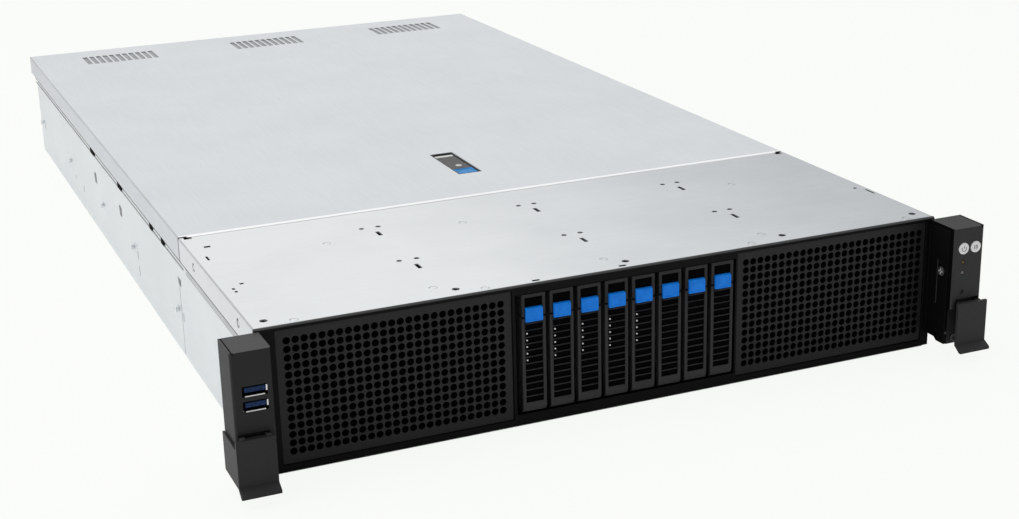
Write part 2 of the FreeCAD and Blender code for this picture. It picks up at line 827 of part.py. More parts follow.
def ear_lower_block():
    """The set-back lower part with the bore for the captive screw."""
    block = side_prism(ear_low_outline(-ear_step, ear_split), (bracket_out, ear_out))
    radius = flats_at(rack_screw_neck + fit_gap, knuckle_sides)
    return block.cut(bar(knuckle_sides, radius, (rack_hole_x, -ear_step - 1, rack_hole_z), "y",
                         ear_step + 2))


def ear_blank():
    """One right-hand ear without its control openings."""
    return fuse([ear_housing(), ear_lower_block()] + ear_hinge_arms())


def right_ear():
    """The ear with the two buttons, two lamps and a reset dimple."""
    front = -ear_depth - 1
    cutters = []
    clearance = flats_at(ear_button_radius + fit_gap, button_sides)
    for x in (power_x, id_x):
        cutters.append(bar(button_sides, clearance, (x, front, ear_button_z), "y", ear_wall + 2))
    for z in led_z:
        cutters.append(bar(pin_sides, led_radius + fit_gap, (led_x, front, z), "y", ear_wall + 2))
    cutters.append(bar(screw_sides, dimple_radius, (led_x, front, ear_top - dimple_drop), "y",
                       dimple_depth + 1))
    ear = ear_blank()
    for cutter in cutters:
        ear = ear.cut(cutter)
    return ear


def left_ear():
    """The mirrored ear with two sockets in its front."""
    ear = ear_blank()
    for z in usb_z:
        half_x, half_z = usb_width / 2 + fit_gap / 2, usb_height / 2 + fit_gap / 2
        ear = ear.cut(box((usb_x - half_x, usb_x + half_x), (-ear_depth - 1, -ear_depth + ear_wall + 1),
                          (z - half_z, z + half_z)))
    return mirrored(ear)


def ear_latch():
    """The hinged cover over the captive screw, with a pull lip along its lower edge."""
    across = (wall_x + flap_inset, half_rack)
    panel = box(across, (-flap_front, -flap_front + flap_sheet), (flap_bottom, flap_top))
    side = box((half_rack - flap_side, half_rack), (-flap_front, -fit_gap),
               (flap_bottom, ear_split - fit_gap))
    lip_bottom = flap_bottom - flap_lip_down
    lip = side_prism([(-flap_front + flap_sheet, flap_bottom),
                      (-flap_front, flap_bottom + flap_lip_shoulder),
                      (-front_reach, lip_bottom + flap_lip_edge), (-front_reach, lip_bottom),
                      (-front_reach + flap_sheet, lip_bottom)], across)
    pin_left = bracket_out + flap_lug_inset
    pin_right = ear_out - flap_lug_inset
    left = pin_left + flap_lug + fit_gap
    right = pin_right - flap_lug - fit_gap
    knuckle = bar(knuckle_sides, flap_knuckle, (left, -flap_hinge_out, flap_hinge_z), "x", right - left)
    web = box((left, right), (-flap_front, -flap_hinge_out),
              (flap_hinge_z - flap_knuckle, flap_hinge_z + flap_knuckle))
    pin = bar(pin_sides, flap_pin_radius, (pin_left, -flap_hinge_out, flap_hinge_z), "x",
              pin_right - pin_left)
    return fuse([panel, side, lip, knuckle, web, pin])


def ear_board():
    """The small circuit board inside a housing."""
    x = (bracket_out + ear_wall + fit_gap, ear_out - ear_wall - fit_gap)
    z = (housing_floor + fit_gap, ear_top - ear_wall - fit_gap)
    return box(x, (-ear_board_out, -ear_board_out + board_thickness), z)


def usb_ports():
    """The left ear's board with two sockets, each a steel shell with a tongue."""
    front = -ear_depth - fit_gap / 2
    solids = [mirrored(ear_board())]
    for z in usb_z:
        outer = box((usb_x - usb_width / 2, usb_x + usb_width / 2), (front, -ear_board_out),
                    (z - usb_height / 2, z + usb_height / 2))
        inner = box((usb_x - usb_width / 2 + usb_shell, usb_x + usb_width / 2 - usb_shell),
                    (front - 1, front + usb_depth),
                    (z - usb_height / 2 + usb_shell, z + usb_height / 2 - usb_shell))
        tongue = box((usb_x - usb_width / 2 + 2 * usb_shell, usb_x + usb_width / 2 - 2 * usb_shell),
                     (front + 1, front + usb_depth), (z, z + usb_tongue))
        solids += [mirrored(outer.cut(inner)), mirrored(tongue)]
    return solids


def status_leds():
    """The right ear's board with two lamps that reach the front."""
    solids = [ear_board()]
    for z in led_z:
        solids.append(bar(pin_sides, led_radius, (led_x, -ear_depth, z), "y", ear_depth - ear_board_out))
    return solids


def ear_button(x):
    """A round plunger button with its stem."""
    front = -ear_depth - ear_button_stand
    return [bar(button_sides, ear_button_radius, (x, front, ear_button_z), "y", ear_button_length)]


# ---------------------------------------------------------------- fans
def fan_x(n):
    return (n - (fan_count - 1) / 2) * fan_pitch


def fan_frames():
    """Four square fan housings, each with a motor base on four struts."""
    frames = []
    bore = fan_size / 2 - fan_bore_wall
    half = fan_size / 2
    rear = fan_front + fan_depth
    base_y = (rear - fan_motor_length, rear)
    reach = bore + fan_bore_wall / 2
    for n in range(fan_count):
        x = fan_x(n)
        body = box((x - half, x + half), (fan_front, rear), (fan_z - half, fan_z + half))
        body = body.cut(bar(bore_sides, flats_at(bore, bore_sides), (x, fan_front - 1, fan_z), "y",
                            fan_depth + 2))
        base = bar(hub_sides, fan_hub_radius, (x, base_y[0], fan_z), "y", fan_motor_length)
        struts = [box((x - reach, x + reach), base_y, (fan_z - fan_strut / 2, fan_z + fan_strut / 2)),
                  box((x - fan_strut / 2, x + fan_strut / 2), base_y, (fan_z - reach, fan_z + reach))]
        frames.append(fuse([body, base] + struts))
    return frames


def blade(angle, middle_x, front, run):
    """One bent blade, turned to its place round the hub."""
    camber = [(-blade_sweep, 0), (-blade_bend, run / 2), (blade_sweep, run)]
    outline = camber + [(x + fan_blade_sheet, y) for x, y in reversed(camber)]
    root = fan_hub_radius - 1
    tip_circle = fan_size / 2 - fan_bore_wall - fan_tip_gap
    tip = math.sqrt(tip_circle ** 2 - (blade_sweep + fan_blade_sheet) ** 2)
    shape = prism([(x, front + y, root) for x, y in outline], (0, 0, tip - root))
    shape.rotate(Vector(0, 0, 0), Vector(0, 1, 0), angle)
    shape.translate(Vector(middle_x, 0, fan_z))
    return shape


def fan_rotor(n):
    """A hub with its ring of blades."""
    x = fan_x(n)
    front = fan_front + rotor_setback
    length = fan_depth - fan_motor_length - rotor_setback - 2 * fit_gap
    hub = bar(rotor_sides, fan_hub_radius, (x, front, fan_z), "y", length)
    run = length - 2 * blade_margin
    blades = [blade(360.0 * k / fan_blades, x, front + blade_margin, run) for k in range(fan_blades)]
    return [fuse([hub] + blades)]


# ---------------------------------------------------------------- main board
def dimm_places():
    """The x of each memory module, in banks on both sides of each cooler."""
    half_sink = sink_width / 2 + dimm_sink_gap
    outer_room = board_half - dimm_board_margin - (cpu_x + half_sink)
    inner_room = cpu_x - half_sink - dimm_middle_gap
    outer = [board_half - dimm_board_margin - k * dimm_pitch for k in range(int(outer_room / dimm_pitch) + 1)]
    inner = [dimm_middle_gap + k * dimm_pitch for k in range(int(inner_room / dimm_pitch) + 1)]
    return [side * x for side in (-1, 1) for x in outer + inner]


def motherboard():
    """The board with a notch for the power supplies, its sockets and processor mounts."""
    right = bay_wall_x - 2 * fit_gap
    outline = [(-board_half, board_front), (board_half, board_front), (board_half, board_notch),
               (right, board_notch), (right, board_rear), (-board_half, board_rear)]
    board = prism([(x, y, board_bottom) for x, y in outline], (0, 0, board_thickness))
    parts = [board]
    half_socket = dimm_length / 2 + dimm_socket_margin
    for x in dimm_places():
        parts.append(box((x - dimm_socket_width / 2, x + dimm_socket_width / 2),
                         (cpu_y - half_socket, cpu_y + half_socket),
                         (board_top, board_top + dimm_socket_height)))
    socket = box((cpu_x - cpu_socket_width / 2, cpu_x + cpu_socket_width / 2),
                 (cpu_y - cpu_socket_length / 2, cpu_y + cpu_socket_length / 2),
                 (board_top, board_top + cpu_socket))
    return fuse(parts + both_sides(socket))


def cpu_heatsinks():
    """Two finned coolers on the processor sockets."""
    bottom = board_top + cpu_socket
    top = shroud_top - shroud_sheet - sink_gap
    y = (cpu_y - sink_length / 2, cpu_y + sink_length / 2)
    left = cpu_x - sink_width / 2
    parts = [box((left, left + sink_width), y, (bottom, bottom + sink_base))]
    step = (sink_width - fin_sheet) / (sink_fins - 1)
    for n in range(sink_fins):
        fin_x = left + n * step
        parts.append(box((fin_x, fin_x + fin_sheet), y, (bottom + sink_base, top)))
    return both_sides(fuse(parts))


def memory_modules():
    """The memory modules, standing on their sockets."""
    z = board_top + dimm_socket_height
    y = (cpu_y - dimm_length / 2, cpu_y + dimm_length / 2)
    half = dimm_thickness / 2
    return [box((x - half, x + half), y, (z, z + dimm_height)) for x in dimm_places()]


def air_shroud():
    """The moulded duct over the processors and memory."""
    y = (shroud_front, shroud_front + shroud_length)
    top = box((-board_half, board_half), y, (shroud_top - shroud_sheet, shroud_top))
    foot_y = (board_front, y[1])
    wall = box((board_half - shroud_sheet, board_half), foot_y, (board_top, shroud_top))
    return fuse([top] + both_sides(wall))


# ---------------------------------------------------------------- rear
def rear_port_blocks():
    """The middle, width and height of each connector on the board's rear edge."""
    blocks = [(video_x, video_width, video_height)]
    blocks += [(x, usb_width, 2 * usb_height + 2 * rear_usb_margin + rear_usb_web) for x in rear_usb_x]
    blocks += [(x, network_width, network_height) for x in network_x]
    return blocks


def rear_ports():
    """Video, serial bus and network connectors."""
    solids = []
    y = (rear_y - port_depth, rear_y + port_rear_reach)
    for x, width, height in rear_port_blocks():
        block = box((x - width / 2, x + width / 2), y, (board_top, board_top + height))
        if x in network_x:
            low = board_top + (network_height - network_socket_height) / 2
            block = block.cut(box((x - network_socket_width / 2, x + network_socket_width / 2),
                                  (y[1] - network_socket_depth, y[1] + 1),
                                  (low, low + network_socket_height)))
        elif x in rear_usb_x:
            for level in (0, 1):
                low = board_top + rear_usb_margin + level * (usb_height + rear_usb_web)
                mouth = box((x - usb_width / 2 + usb_shell, x + usb_width / 2 - usb_shell),
                            (y[1] - usb_depth, y[1] + 1), (low, low + usb_height - 2 * usb_shell))
                tongue_z = low + (usb_height - usb_tongue) / 2
                tongue = box((x - usb_width / 2 + 2 * usb_shell, x + usb_width / 2 - 2 * usb_shell),
                             (y[1] - usb_depth - 1, y[1] - 1), (tongue_z, tongue_z + usb_tongue))
                block = fuse([block.cut(mouth), tongue])
        else:
            shell = box((x - video_shell_width / 2, x + video_shell_width / 2),
                        (y[1], y[1] + video_shell_reach),
                        (board_top + video_shell_margin, board_top + height - video_shell_margin))
            block = fuse([block, shell])
        solids.append(block)
    return solids


def riser_cage():
    """Three card cages, each a vented rear plate with top and side flanges."""
    cages = []
    for n in range(riser_count):
        left = riser_left + n * riser_pitch
        x = (left, left + riser_width)
        deep = (rear_y - riser_depth, rear_y)
        plate = box(x, (rear_y - sheet, rear_y), (riser_bottom, riser_top))
        top = box(x, deep, (riser_top - sheet, riser_top))
        sides = [box((a, a + sheet), deep, (riser_bottom, riser_top)) for a in (x[0], x[1] - sheet)]
        row_pitch = (riser_top - riser_bottom) / riser_vent_rows
        column_pitch = (riser_width - 2 * riser_vent_margin) / riser_vent_columns
        half_width = (column_pitch - riser_vent_gap) / 2
        holes = []
        for row in range(riser_vent_rows):
            for column in range(riser_vent_columns):
                a = x[0] + riser_vent_margin + (column + 0.5) * column_pitch
                b = riser_bottom + (row + 0.5) * row_pitch
                holes.append(box((a - half_width, a + half_width), (rear_y - 2 * sheet, rear_y + 1),
                                 (b - riser_vent_height / 2, b + riser_vent_height / 2)))
        cages.append(fuse([plate, top] + sides).cut(Part.makeCompound(holes)))
    return cages


def power_supply(bottom):
    """A plug-in supply with its mains inlet, vents and a pull bail."""
    z = (bottom, bottom + psu_height)
    body = box((psu_left, psu_right), (psu_front, rear_y), z)
    middle_z = bottom + psu_height / 2
    inlet_x = psu_left + inlet_left
    inlet = box((inlet_x, inlet_x + inlet_width), (rear_y - inlet_depth, rear_y + 1),
                (middle_z - inlet_height / 2, middle_z + inlet_height / 2))
    vents = []
    for n in range(psu_vent_count):
        x = psu_left + psu_vent_left + n * psu_vent_pitch
        vents.append(box((x, x + psu_vent_width), (rear_y - psu_vent_depth, rear_y + 1),
                         (z[0] + psu_vent_margin, z[1] - psu_vent_margin)))
    bail_left = psu_left + bail_x
    reach = box((bail_left, bail_left + bail_bar), (rear_y - 1, rear_y + bail_reach),
                (z[0] + psu_vent_margin, z[1] - psu_vent_margin))
    gap = box((bail_left - 1, bail_left + bail_bar + 1), (rear_y, rear_y + bail_reach - bail_bar),
              (z[0] + psu_vent_margin + bail_bar, z[1] - psu_vent_margin - bail_bar))
    return [fuse([body.cut(Part.makeCompound([inlet] + vents)), reach.cut(gap)])]


def psu_latch(bottom):
    """The sprung tab that locks a supply in its bay."""
    middle_z = bottom + psu_height / 2
    right = psu_right - fit_gap
    return [box((right - tab_width, right), (rear_y + fit_gap, rear_y + tab_reach),
                (middle_z - tab_height / 2, middle_z + tab_height / 2))]


# ---------------------------------------------------------------- fasteners
def rail_studs():
    """Headed studs along both walls that hang the chassis in its slide rails."""
    studs = []
    for y in all_stud_y:
        neck = bar(pin_sides, stud_neck, (wall_x, y, stud_z), "x", wall_inset - stud_head_sheet)
        head = bar(knuckle_sides, stud_head, (wall_x + wall_inset - stud_head_sheet, y, stud_z), "x",
                   stud_head_sheet)
        studs += both_sides(fuse([neck, head]))
    return studs


def captive_screw():
    """The right-hand rack screw: a head, a thin neck inside the ear and a thread behind it."""
    head_front = -ear_step - fit_gap - rack_screw_head_length
    neck_front = head_front + rack_screw_head_length
    head = bar(screw_sides, rack_screw_head, (rack_hole_x, head_front, rack_hole_z), "y",
               rack_screw_head_length)
    neck = bar(screw_sides, rack_screw_neck, (rack_hole_x, neck_front, rack_hole_z), "y",
               rack_thread_start - neck_front)
    thread = rod((rack_hole_x, rack_thread_start, rack_hole_z), (0, 1, 0),
                 rack_screw_reach - rack_thread_start,
                 rack_screw_radius)
    return fuse([head, neck, thread])


def screws():
    """Captive rack screws, ear bracket screws and front cover screws."""
    bracket = bar(screw_sides, bracket_screw_radius,
                  (wall_x - bracket_screw_head, bracket_screw_y, bracket_screw_z), "x",
                  bracket_screw_head)
    solids = both_sides(captive_screw()) + both_sides(bracket)
    seat = wall_x - joggle
    for y in cover_screw_y:
        solids += both_sides(bar(screw_sides, cover_screw_radius, (seat, y, cover_screw_z), "x",
                                 half_body - seat))
    return solids


def fasteners():
    return rail_studs() + screws()


# ---------------------------------------------------------------- write every node
def write_parts():
    os.makedirs("parts", exist_ok=True)
    single = {
        "chassis_base": chassis_base, "rear_panel": rear_panel,
        "front_cover": front_cover, "rear_cover": rear_cover,
        "latch_base": latch_base, "latch_lever": latch_lever, "latch_tip": latch_tip,
        "front_frame": front_frame, "drive_cage": drive_cage, "drive_backplane": drive_backplane,
        "left_ear": left_ear, "right_ear": right_ear, "motherboard": motherboard, "air_shroud": air_shroud,
    }
    for name, make in single.items():
        save(name, [make()])
    groups = {
        "usb_ports": usb_ports, "status_leds": status_leds, "fan_frames": fan_frames,
        "cpu_heatsinks": cpu_heatsinks, "memory_modules": memory_modules, "rear_ports": rear_ports,
        "riser_cage": riser_cage, "fasteners": fasteners,
    }
    for name, make in groups.items():
        save(name, make())
    save("grille_left", [grille(left_grille)])
    save("grille_right", [grille(right_grille)])
    save("right_ear_latch", [ear_latch()])
    save("left_ear_latch", [mirrored(ear_latch())])
    save("power_button", ear_button(power_x))
    save("id_button", ear_button(id_x))
    for n in range(tray_count):
        left = tray_left + n * tray_pitch
        save("tray_%d" % (n + 1), tray(left))
        save("tray_lever_%d" % (n + 1), tray_lever(left))
        save("tray_button_%d" % (n + 1), tray_button(left))
    for n in range(fan_count):
        save("fan_rotor_%d" % (n + 1), fan_rotor(n))
    for n, bottom in enumerate(psu_bottoms):
        save("power_supply_%d" % (n + 1), power_supply(bottom))
        save("psu_latch_%d" % (n + 1), psu_latch(bottom))


write_parts()
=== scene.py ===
# %% [markdown]
# # A two-unit rack server
# This lesson dresses a measured model of a rack server: a flat steel box with two top
# covers, eight drive trays between two perforated panels, and two moulded ears.
# The measured parts come in first and are never moved or changed. Where a measured part is
# too plain for a close look, a new piece is modelled over it and stands for it.

# %% Load the measured parts
import json
import math
import bmesh
import bpy
from mathutils import Matrix, Vector
from mathutils.bvhtree import BVHTree


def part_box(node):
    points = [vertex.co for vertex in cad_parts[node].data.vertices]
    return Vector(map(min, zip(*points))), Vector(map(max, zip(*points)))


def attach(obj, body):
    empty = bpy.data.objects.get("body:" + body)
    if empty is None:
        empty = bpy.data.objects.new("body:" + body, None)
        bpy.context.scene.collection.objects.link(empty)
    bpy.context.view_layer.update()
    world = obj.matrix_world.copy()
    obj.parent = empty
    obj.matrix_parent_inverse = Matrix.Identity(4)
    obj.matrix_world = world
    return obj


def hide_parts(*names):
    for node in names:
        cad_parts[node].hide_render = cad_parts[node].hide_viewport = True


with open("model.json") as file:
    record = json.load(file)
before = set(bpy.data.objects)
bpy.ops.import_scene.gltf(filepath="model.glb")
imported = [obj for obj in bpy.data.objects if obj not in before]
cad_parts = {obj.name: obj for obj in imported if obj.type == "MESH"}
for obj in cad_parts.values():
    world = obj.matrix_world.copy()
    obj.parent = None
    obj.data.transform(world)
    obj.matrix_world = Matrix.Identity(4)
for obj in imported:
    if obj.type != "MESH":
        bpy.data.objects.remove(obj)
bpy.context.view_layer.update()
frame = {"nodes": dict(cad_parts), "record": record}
nodes = frame["nodes"]

# %% [markdown]
# ## Camera
# The camera stands to the front left and looks down a little, with a mild telephoto lens.
# It leans by a degree or so, as a camera held by hand does.

# %% Camera
camera_data = bpy.data.cameras.new("camera")
camera_data.lens = 59.79
camera_data.sensor_width = 36.0
camera_data.clip_start = 0.05
camera = bpy.data.objects.new("camera", camera_data)
camera.location = (-0.41883, -1.21703, 0.40709)
camera.rotation_euler = [math.radians(turn) for turn in (71.3048, 1.3343, -23.3018)]
bpy.context.collection.objects.link(camera)
bpy.context.scene.camera = camera
print("camera at", tuple(round(v, 3) for v in camera.location))

# %% [markdown]
# ## Studio
# The server is shown on a white floor under a large soft sky. The sky is brightest behind
# and to the right, with one still brighter patch like a window, because steel sheet mostly
# shows what stands behind it. It is dim in front, so that black paint stays black. The
# camera itself sees plain white in place of the sky.

# %% A helper for nodes
def add_node(tree, kind, sockets, give=0, **settings):
    """Add a node, set or link its sockets by name or number, and give one of its outputs."""
    node = tree.nodes.new("ShaderNode" + kind)
    for name, value in settings.items():
        setattr(node, name, value)
    for key, value in sockets.items():
        if isinstance(value, bpy.types.NodeSocket):
            tree.links.new(value, node.inputs[key])
        else:
            node.inputs[key].default_value = value
    return node.outputs[give] if node.outputs else None


print("nodes can be added")

# %% Sky
paper_white = (0.973, 0.989, 0.965, 1.0)
bright_side = (0.295, 0.910, 0.292)
dim_strength = 0.42
bright_strength = 1.08
window_strength = 0.2

scene = bpy.context.scene
scene.view_settings.view_transform = "Standard"
world = bpy.data.worlds.new("studio_sky")
scene.world = world
world.use_nodes = True
sky = world.node_tree
sky.nodes.clear()
direction = add_node(sky, "TexCoord", {}, "Generated")
toward = add_node(sky, "VectorMath", {0: direction, 1: bright_side}, "Value", operation="DOT_PRODUCT")
glow = add_node(sky, "MapRange", {"Value": toward, "From Min": -0.6, "From Max": 0.95,
                                  "To Min": dim_strength, "To Max": bright_strength},
                interpolation_type="SMOOTHSTEP")
window = add_node(sky, "MapRange", {"Value": toward, "From Min": 0.86, "To Max": window_strength})
studio = add_node(sky, "Background", {"Strength": add_node(sky, "Math", {0: glow, 1: window})})
backdrop = add_node(sky, "Background", {"Color": paper_white})
camera_ray = add_node(sky, "LightPath", {}, "Is Camera Ray")
seen = add_node(sky, "MixShader", {"Fac": camera_ray, 1: studio, 2: backdrop})
add_node(sky, "OutputWorld", {"Surface": seen})
print("sky is brightest towards", bright_side)

# %% Soft lamps
def softbox(name, place, target, size, power):
    """A square area lamp that points at a target and isn't seen itself."""
    lamp_data = bpy.data.lights.new(name, "AREA")
    lamp_data.size = size
    lamp_data.energy = power
    lamp = bpy.data.objects.new(name, lamp_data)
    lamp.location = place
    aim = Vector(target) - Vector(place)
    lamp.rotation_euler = aim.to_track_quat("-Z", "Y").to_euler()
    lamp.visible_camera = False
    bpy.context.collection.objects.link(lamp)
    return lamp


softbox("top_lamp", (-0.5, 0.2, 2.2), (0.0, 0.0, 0.0), 1.8, 14.0)
softbox("left_lamp", (-2.2, -0.4, 0.9), (0.0, 0.0, 0.05), 1.4, 16.0)
print("lamps: one above and one on the left")

# %% A helper that starts a piece
def start(name, add, **settings):
    """Add a primitive, name it, and put its place into its mesh."""
    bpy.ops.object.select_all(action="DESELECT")
    add(**settings)
    piece = bpy.context.object
    piece.name = name
    bpy.ops.object.transform_apply(location=True, rotation=True, scale=True)
    return piece


print("pieces can be started")

# %% Floor
# The camera sees the floor mostly as plain white, with a small share left for the shadow.
white_share = 0.92

floor = start("floor", bpy.ops.mesh.primitive_plane_add, size=14.0, location=(0.0, 0.0, 0.0))
floor_paint = bpy.data.materials.new("floor_white")
floor_paint.use_nodes = True
tree = floor_paint.node_tree
paint = tree.nodes["Principled BSDF"]
paint.inputs["Base Color"].default_value = (0.9, 0.9, 0.9, 1.0)
paint.inputs["Roughness"].default_value = 1.0
paint.inputs["Specular IOR Level"].default_value = 0.0
white = add_node(tree, "Emission", {"Color": paper_white})
camera_ray = add_node(tree, "LightPath", {}, "Is Camera Ray")
share = add_node(tree, "Math", {0: camera_ray, 1: white_share}, operation="MULTIPLY")
seen = add_node(tree, "MixShader", {"Fac": share, 1: paint.outputs["BSDF"], 2: white})
tree.links.new(seen, tree.nodes["Material Output"].inputs["Surface"])
floor.data.materials.append(floor_paint)
print("floor laid")

# %% [markdown]
# ## Finishes
# Every finish is made of noise at the scale of the real thing. Galvanised sheet has soft
# grey clouds and a fine grain along its rolling direction. Powder coat has a fine orange
# peel, and moulded plastic a finer grain that only shows in the highlights.

# %% The start of a finish
def start_finish(name, color, roughness, metallic=0.0, specular=0.5):
    """A material with its constants set on the shader itself."""
    material = bpy.data.materials.new(name)
    material.use_nodes = True
    shader = material.node_tree.nodes["Principled BSDF"]
    shader.inputs["Base Color"].default_value = (*color, 1.0)
    shader.inputs["Roughness"].default_value = roughness
    shader.inputs["Metallic"].default_value = metallic
    shader.inputs["Specular IOR Level"].default_value = specular
    return material


def lead_in(material, result, socket):
    """Lead the result of a node into a socket of the material's shader."""
    tree = material.node_tree
    tree.links.new(result, tree.nodes["Principled BSDF"].inputs[socket])


print("finishes can be started")


# %% Patterns and what they steer
def add_noise(material, scale, detail=2.0, stretch=(1.0, 1.0, 1.0)):
    """A noise pattern in object coordinates, stretched along an axis where asked."""
    tree = material.node_tree
    place = add_node(tree, "TexCoord", {}, "Object")
    stretched = add_node(tree, "Mapping", {"Vector": place, "Scale": stretch})
    return add_node(tree, "TexNoise", {"Vector": stretched, "Scale": scale, "Detail": detail}, "Fac")


def tint(material, pattern, dark, light):
    """Colour the surface between two colours by a pattern."""
    color = add_node(material.node_tree, "ValToRGB", {"Fac": pattern})
    for element, position, tone in zip(color.node.color_ramp.elements, (0.3, 0.7), (dark, light)):
        element.position = position
        element.color = (*tone, 1.0)
    lead_in(material, color, "Base Color")


def vary_roughness(material, pattern, low, high):
    """Let the gloss drift between two values by a pattern."""
    lead_in(material, add_node(material.node_tree, "MapRange", {
        "Value": pattern, "From Min": 0.3, "From Max": 0.7, "To Min": low, "To Max": high}), "Roughness")


def add_bump(material, pattern, height, strength=1.0):
    """Raise the surface by a pattern, up to a height in metres."""
    lead_in(material, add_node(material.node_tree, "Bump", {
        "Height": pattern, "Strength": strength, "Distance": height}), "Normal")


print("patterns ready")


# %% Galvanised steel
def painted_reflection_across(material, pattern, light_x, dark_x):
    """Add a painted reflection to a pattern: lighter at one place across the width, darker at another."""
    tree = material.node_tree
    place = add_node(tree, "TexCoord", {}, "Object")
    across = add_node(tree, "SeparateXYZ", {"Vector": place}, "X")
    drift_and_painted_light = add_node(tree, "MapRange", {"Value": across, "From Min": light_x, "From Max": dark_x,
                                        "To Min": 0.6, "To Max": 0.2})
    return add_node(tree, "Math", {0: pattern, 1: 0.2, 2: drift_and_painted_light}, operation="MULTIPLY_ADD")


def galvanised(name, dark, light, along, drift_and_painted_light=None):
    """Zinc-coated sheet: soft clouds of grey, a fine grain along the roll, and where asked a painted
    reflection across the width.
    """
    finish = start_finish(name, light, 0.38, metallic=0.75)
    clouds = add_noise(finish, 14.0, 4.0)
    if drift_and_painted_light is not None:
        clouds = painted_reflection_across(finish, clouds, *drift_and_painted_light)
    tint(finish, clouds, dark, light)
    grain = add_noise(finish, 900.0, 3.0, along)
    vary_roughness(finish, grain, 0.33, 0.46)
    add_bump(finish, grain, 0.00004, 0.25)
    return finish


print("galvanised sheet can be made")

# %% Every tone of zinc
grain_back = (1.0, 0.04, 1.0)
grain_across = (0.04, 1.0, 1.0)
# The front cover's zinc carries a painted reflection: lighter towards the left, darker towards the right.
cover_painted_reflection = (-0.10, 0.21)
zinc_front = galvanised("zinc_front_cover", (0.49, 0.515, 0.535), (0.765, 0.785, 0.795),
                        grain_across, cover_painted_reflection)
zinc_rear = galvanised("zinc_rear_cover", (0.645, 0.67, 0.69), (0.68, 0.705, 0.725), grain_back)
zinc_wall = galvanised("zinc_walls", (0.77, 0.80, 0.81), (0.82, 0.85, 0.86), grain_back)
# Painted shade: a darker zinc for the covers' rounded folds.
fold_painted_shade = galvanised("zinc_fold_painted_shade", (0.50, 0.515, 0.525), (0.56, 0.575, 0.585), grain_back)
# Painted highlight: a near-white zinc for the rear cover's hem.
hem_painted_highlight = galvanised("zinc_hem_painted_highlight", (0.93, 0.94, 0.945), (0.97, 0.975, 0.98), grain_across)
# Darker zincs of painted shade: the step's line, the band below the front cover's flange and at its rear
# edge, and the pressed pockets. The band's zinc also colours the small specks.
painted_step_shade = galvanised("zinc_painted_step_shade", (0.34, 0.35, 0.36), (0.40, 0.41, 0.42), grain_back)
band_painted_shade_and_specks = galvanised("zinc_band_painted_shade_and_specks", (0.50, 0.515, 0.52), (0.56, 0.575, 0.58), grain_back)
pocket_painted_shade = galvanised("zinc_pocket_painted_shade", (0.20, 0.205, 0.21), (0.26, 0.265, 0.27), grain_back)
vent_baffle_painted_shade = galvanised("zinc_under_vents_painted_shade", (0.27, 0.28, 0.285), (0.32, 0.33, 0.335), grain_back)
# A near-white zinc used as a painted highlight on small bright edges.
painted_highlight_edge = galvanised("painted_highlight_edge", (0.80, 0.80, 0.80), (0.92, 0.92, 0.92), grain_back)
print("galvanised finishes made")


# %% Black paint and black mouldings
def grey(value, blue=0.0):
    """A neutral tone, with a little more blue where asked."""
    return (value, value, value + blue)


def black_coat(name, dark, light, roughness, specular, scale, height):
    """A black finish with a fine relief that breaks up its highlights."""
    finish = start_finish(name, light, roughness, specular=specular)
    relief = add_noise(finish, scale, 2.0)
    tint(finish, relief, dark, light)
    add_bump(finish, relief, height, 0.5)
    return finish


peel = (1400.0, 0.00008)
pebble = (1800.0, 0.0001)
matt = (2200.0, 0.00005)
paint_black = black_coat("powder_coat_black", grey(0.007), grey(0.011, 0.0005), 0.5, 0.25, *peel)
frame_black = black_coat("frame_powder_coat", grey(0.002), grey(0.004), 0.5, 0.12, *peel)
panel_black = black_coat("panel_powder_coat", grey(0.012), grey(0.018, 0.0005), 0.5, 0.3, *peel)
# A lighter grey: a painted highlight on the frame's top edge, and the grey of the ear screws' heads.
edge_highlight_and_screw_grey = black_coat("edge_highlight_and_screw_grey", grey(0.045, 0.001), grey(0.06, 0.001), 0.45, 0.4, 1400.0, 0.00005)
ear_black = black_coat("moulding_black", grey(0.010, 0.0005), grey(0.016, 0.001), 0.55, 0.3, *pebble)
ear_grey = black_coat("moulding_grey", (0.022, 0.023, 0.023), (0.032, 0.033, 0.033), 0.55, 0.3, *pebble)
# Painted highlight for the left ear's top.
ear_top_painted_highlight = black_coat("moulding_top_painted_highlight", grey(0.034, 0.001), grey(0.046, 0.001), 0.6, 0.4, *pebble)
latch_black = black_coat("latch_black", grey(0.016, 0.0005), grey(0.022, 0.001), 0.5, 0.3, *pebble)
tray_black = black_coat("tray_moulding", grey(0.016, 0.0005), grey(0.024, 0.001), 0.5, 0.3, *matt)
lever_black = black_coat("lever_black", grey(0.030, 0.0005), grey(0.040, 0.001), 0.5, 0.35, *matt)
fan_black = black_coat("fan_moulding", grey(0.012), grey(0.018), 0.45, 0.4, 900.0, 0.00005)
lever_grey = black_coat("lever_moulding", (0.045, 0.047, 0.045), (0.15, 0.155, 0.15), 0.6, 0.2,
                        900.0, 0.00008)
# The pan's grey also paints the shadow line under the covers' flanges.
pan_grey_and_gap_shadow = black_coat("pan_moulding_and_gap_shadow", (0.05, 0.052, 0.055), (0.07, 0.072, 0.075), 0.5, 0.4,
                      1500.0, 0.00008)
shade_black = black_coat("deep_shade", grey(0.0012), grey(0.002), 0.9, 0.05, 900.0, 0.00002)
print("black finishes made")

# %% Coloured mouldings
def moulding(name, dark, light, roughness, drift_scale=260.0):
    """A satin coloured plastic with a slight drift in tone."""
    finish = start_finish(name, light, roughness, specular=0.2)
    drift_and_painted_light = add_noise(finish, drift_scale, 2.0)
    tint(finish, drift_and_painted_light, dark, light)
    fine = add_noise(finish, 2500.0, 2.0)
    add_bump(finish, fine, 0.00004, 0.4)
    return finish


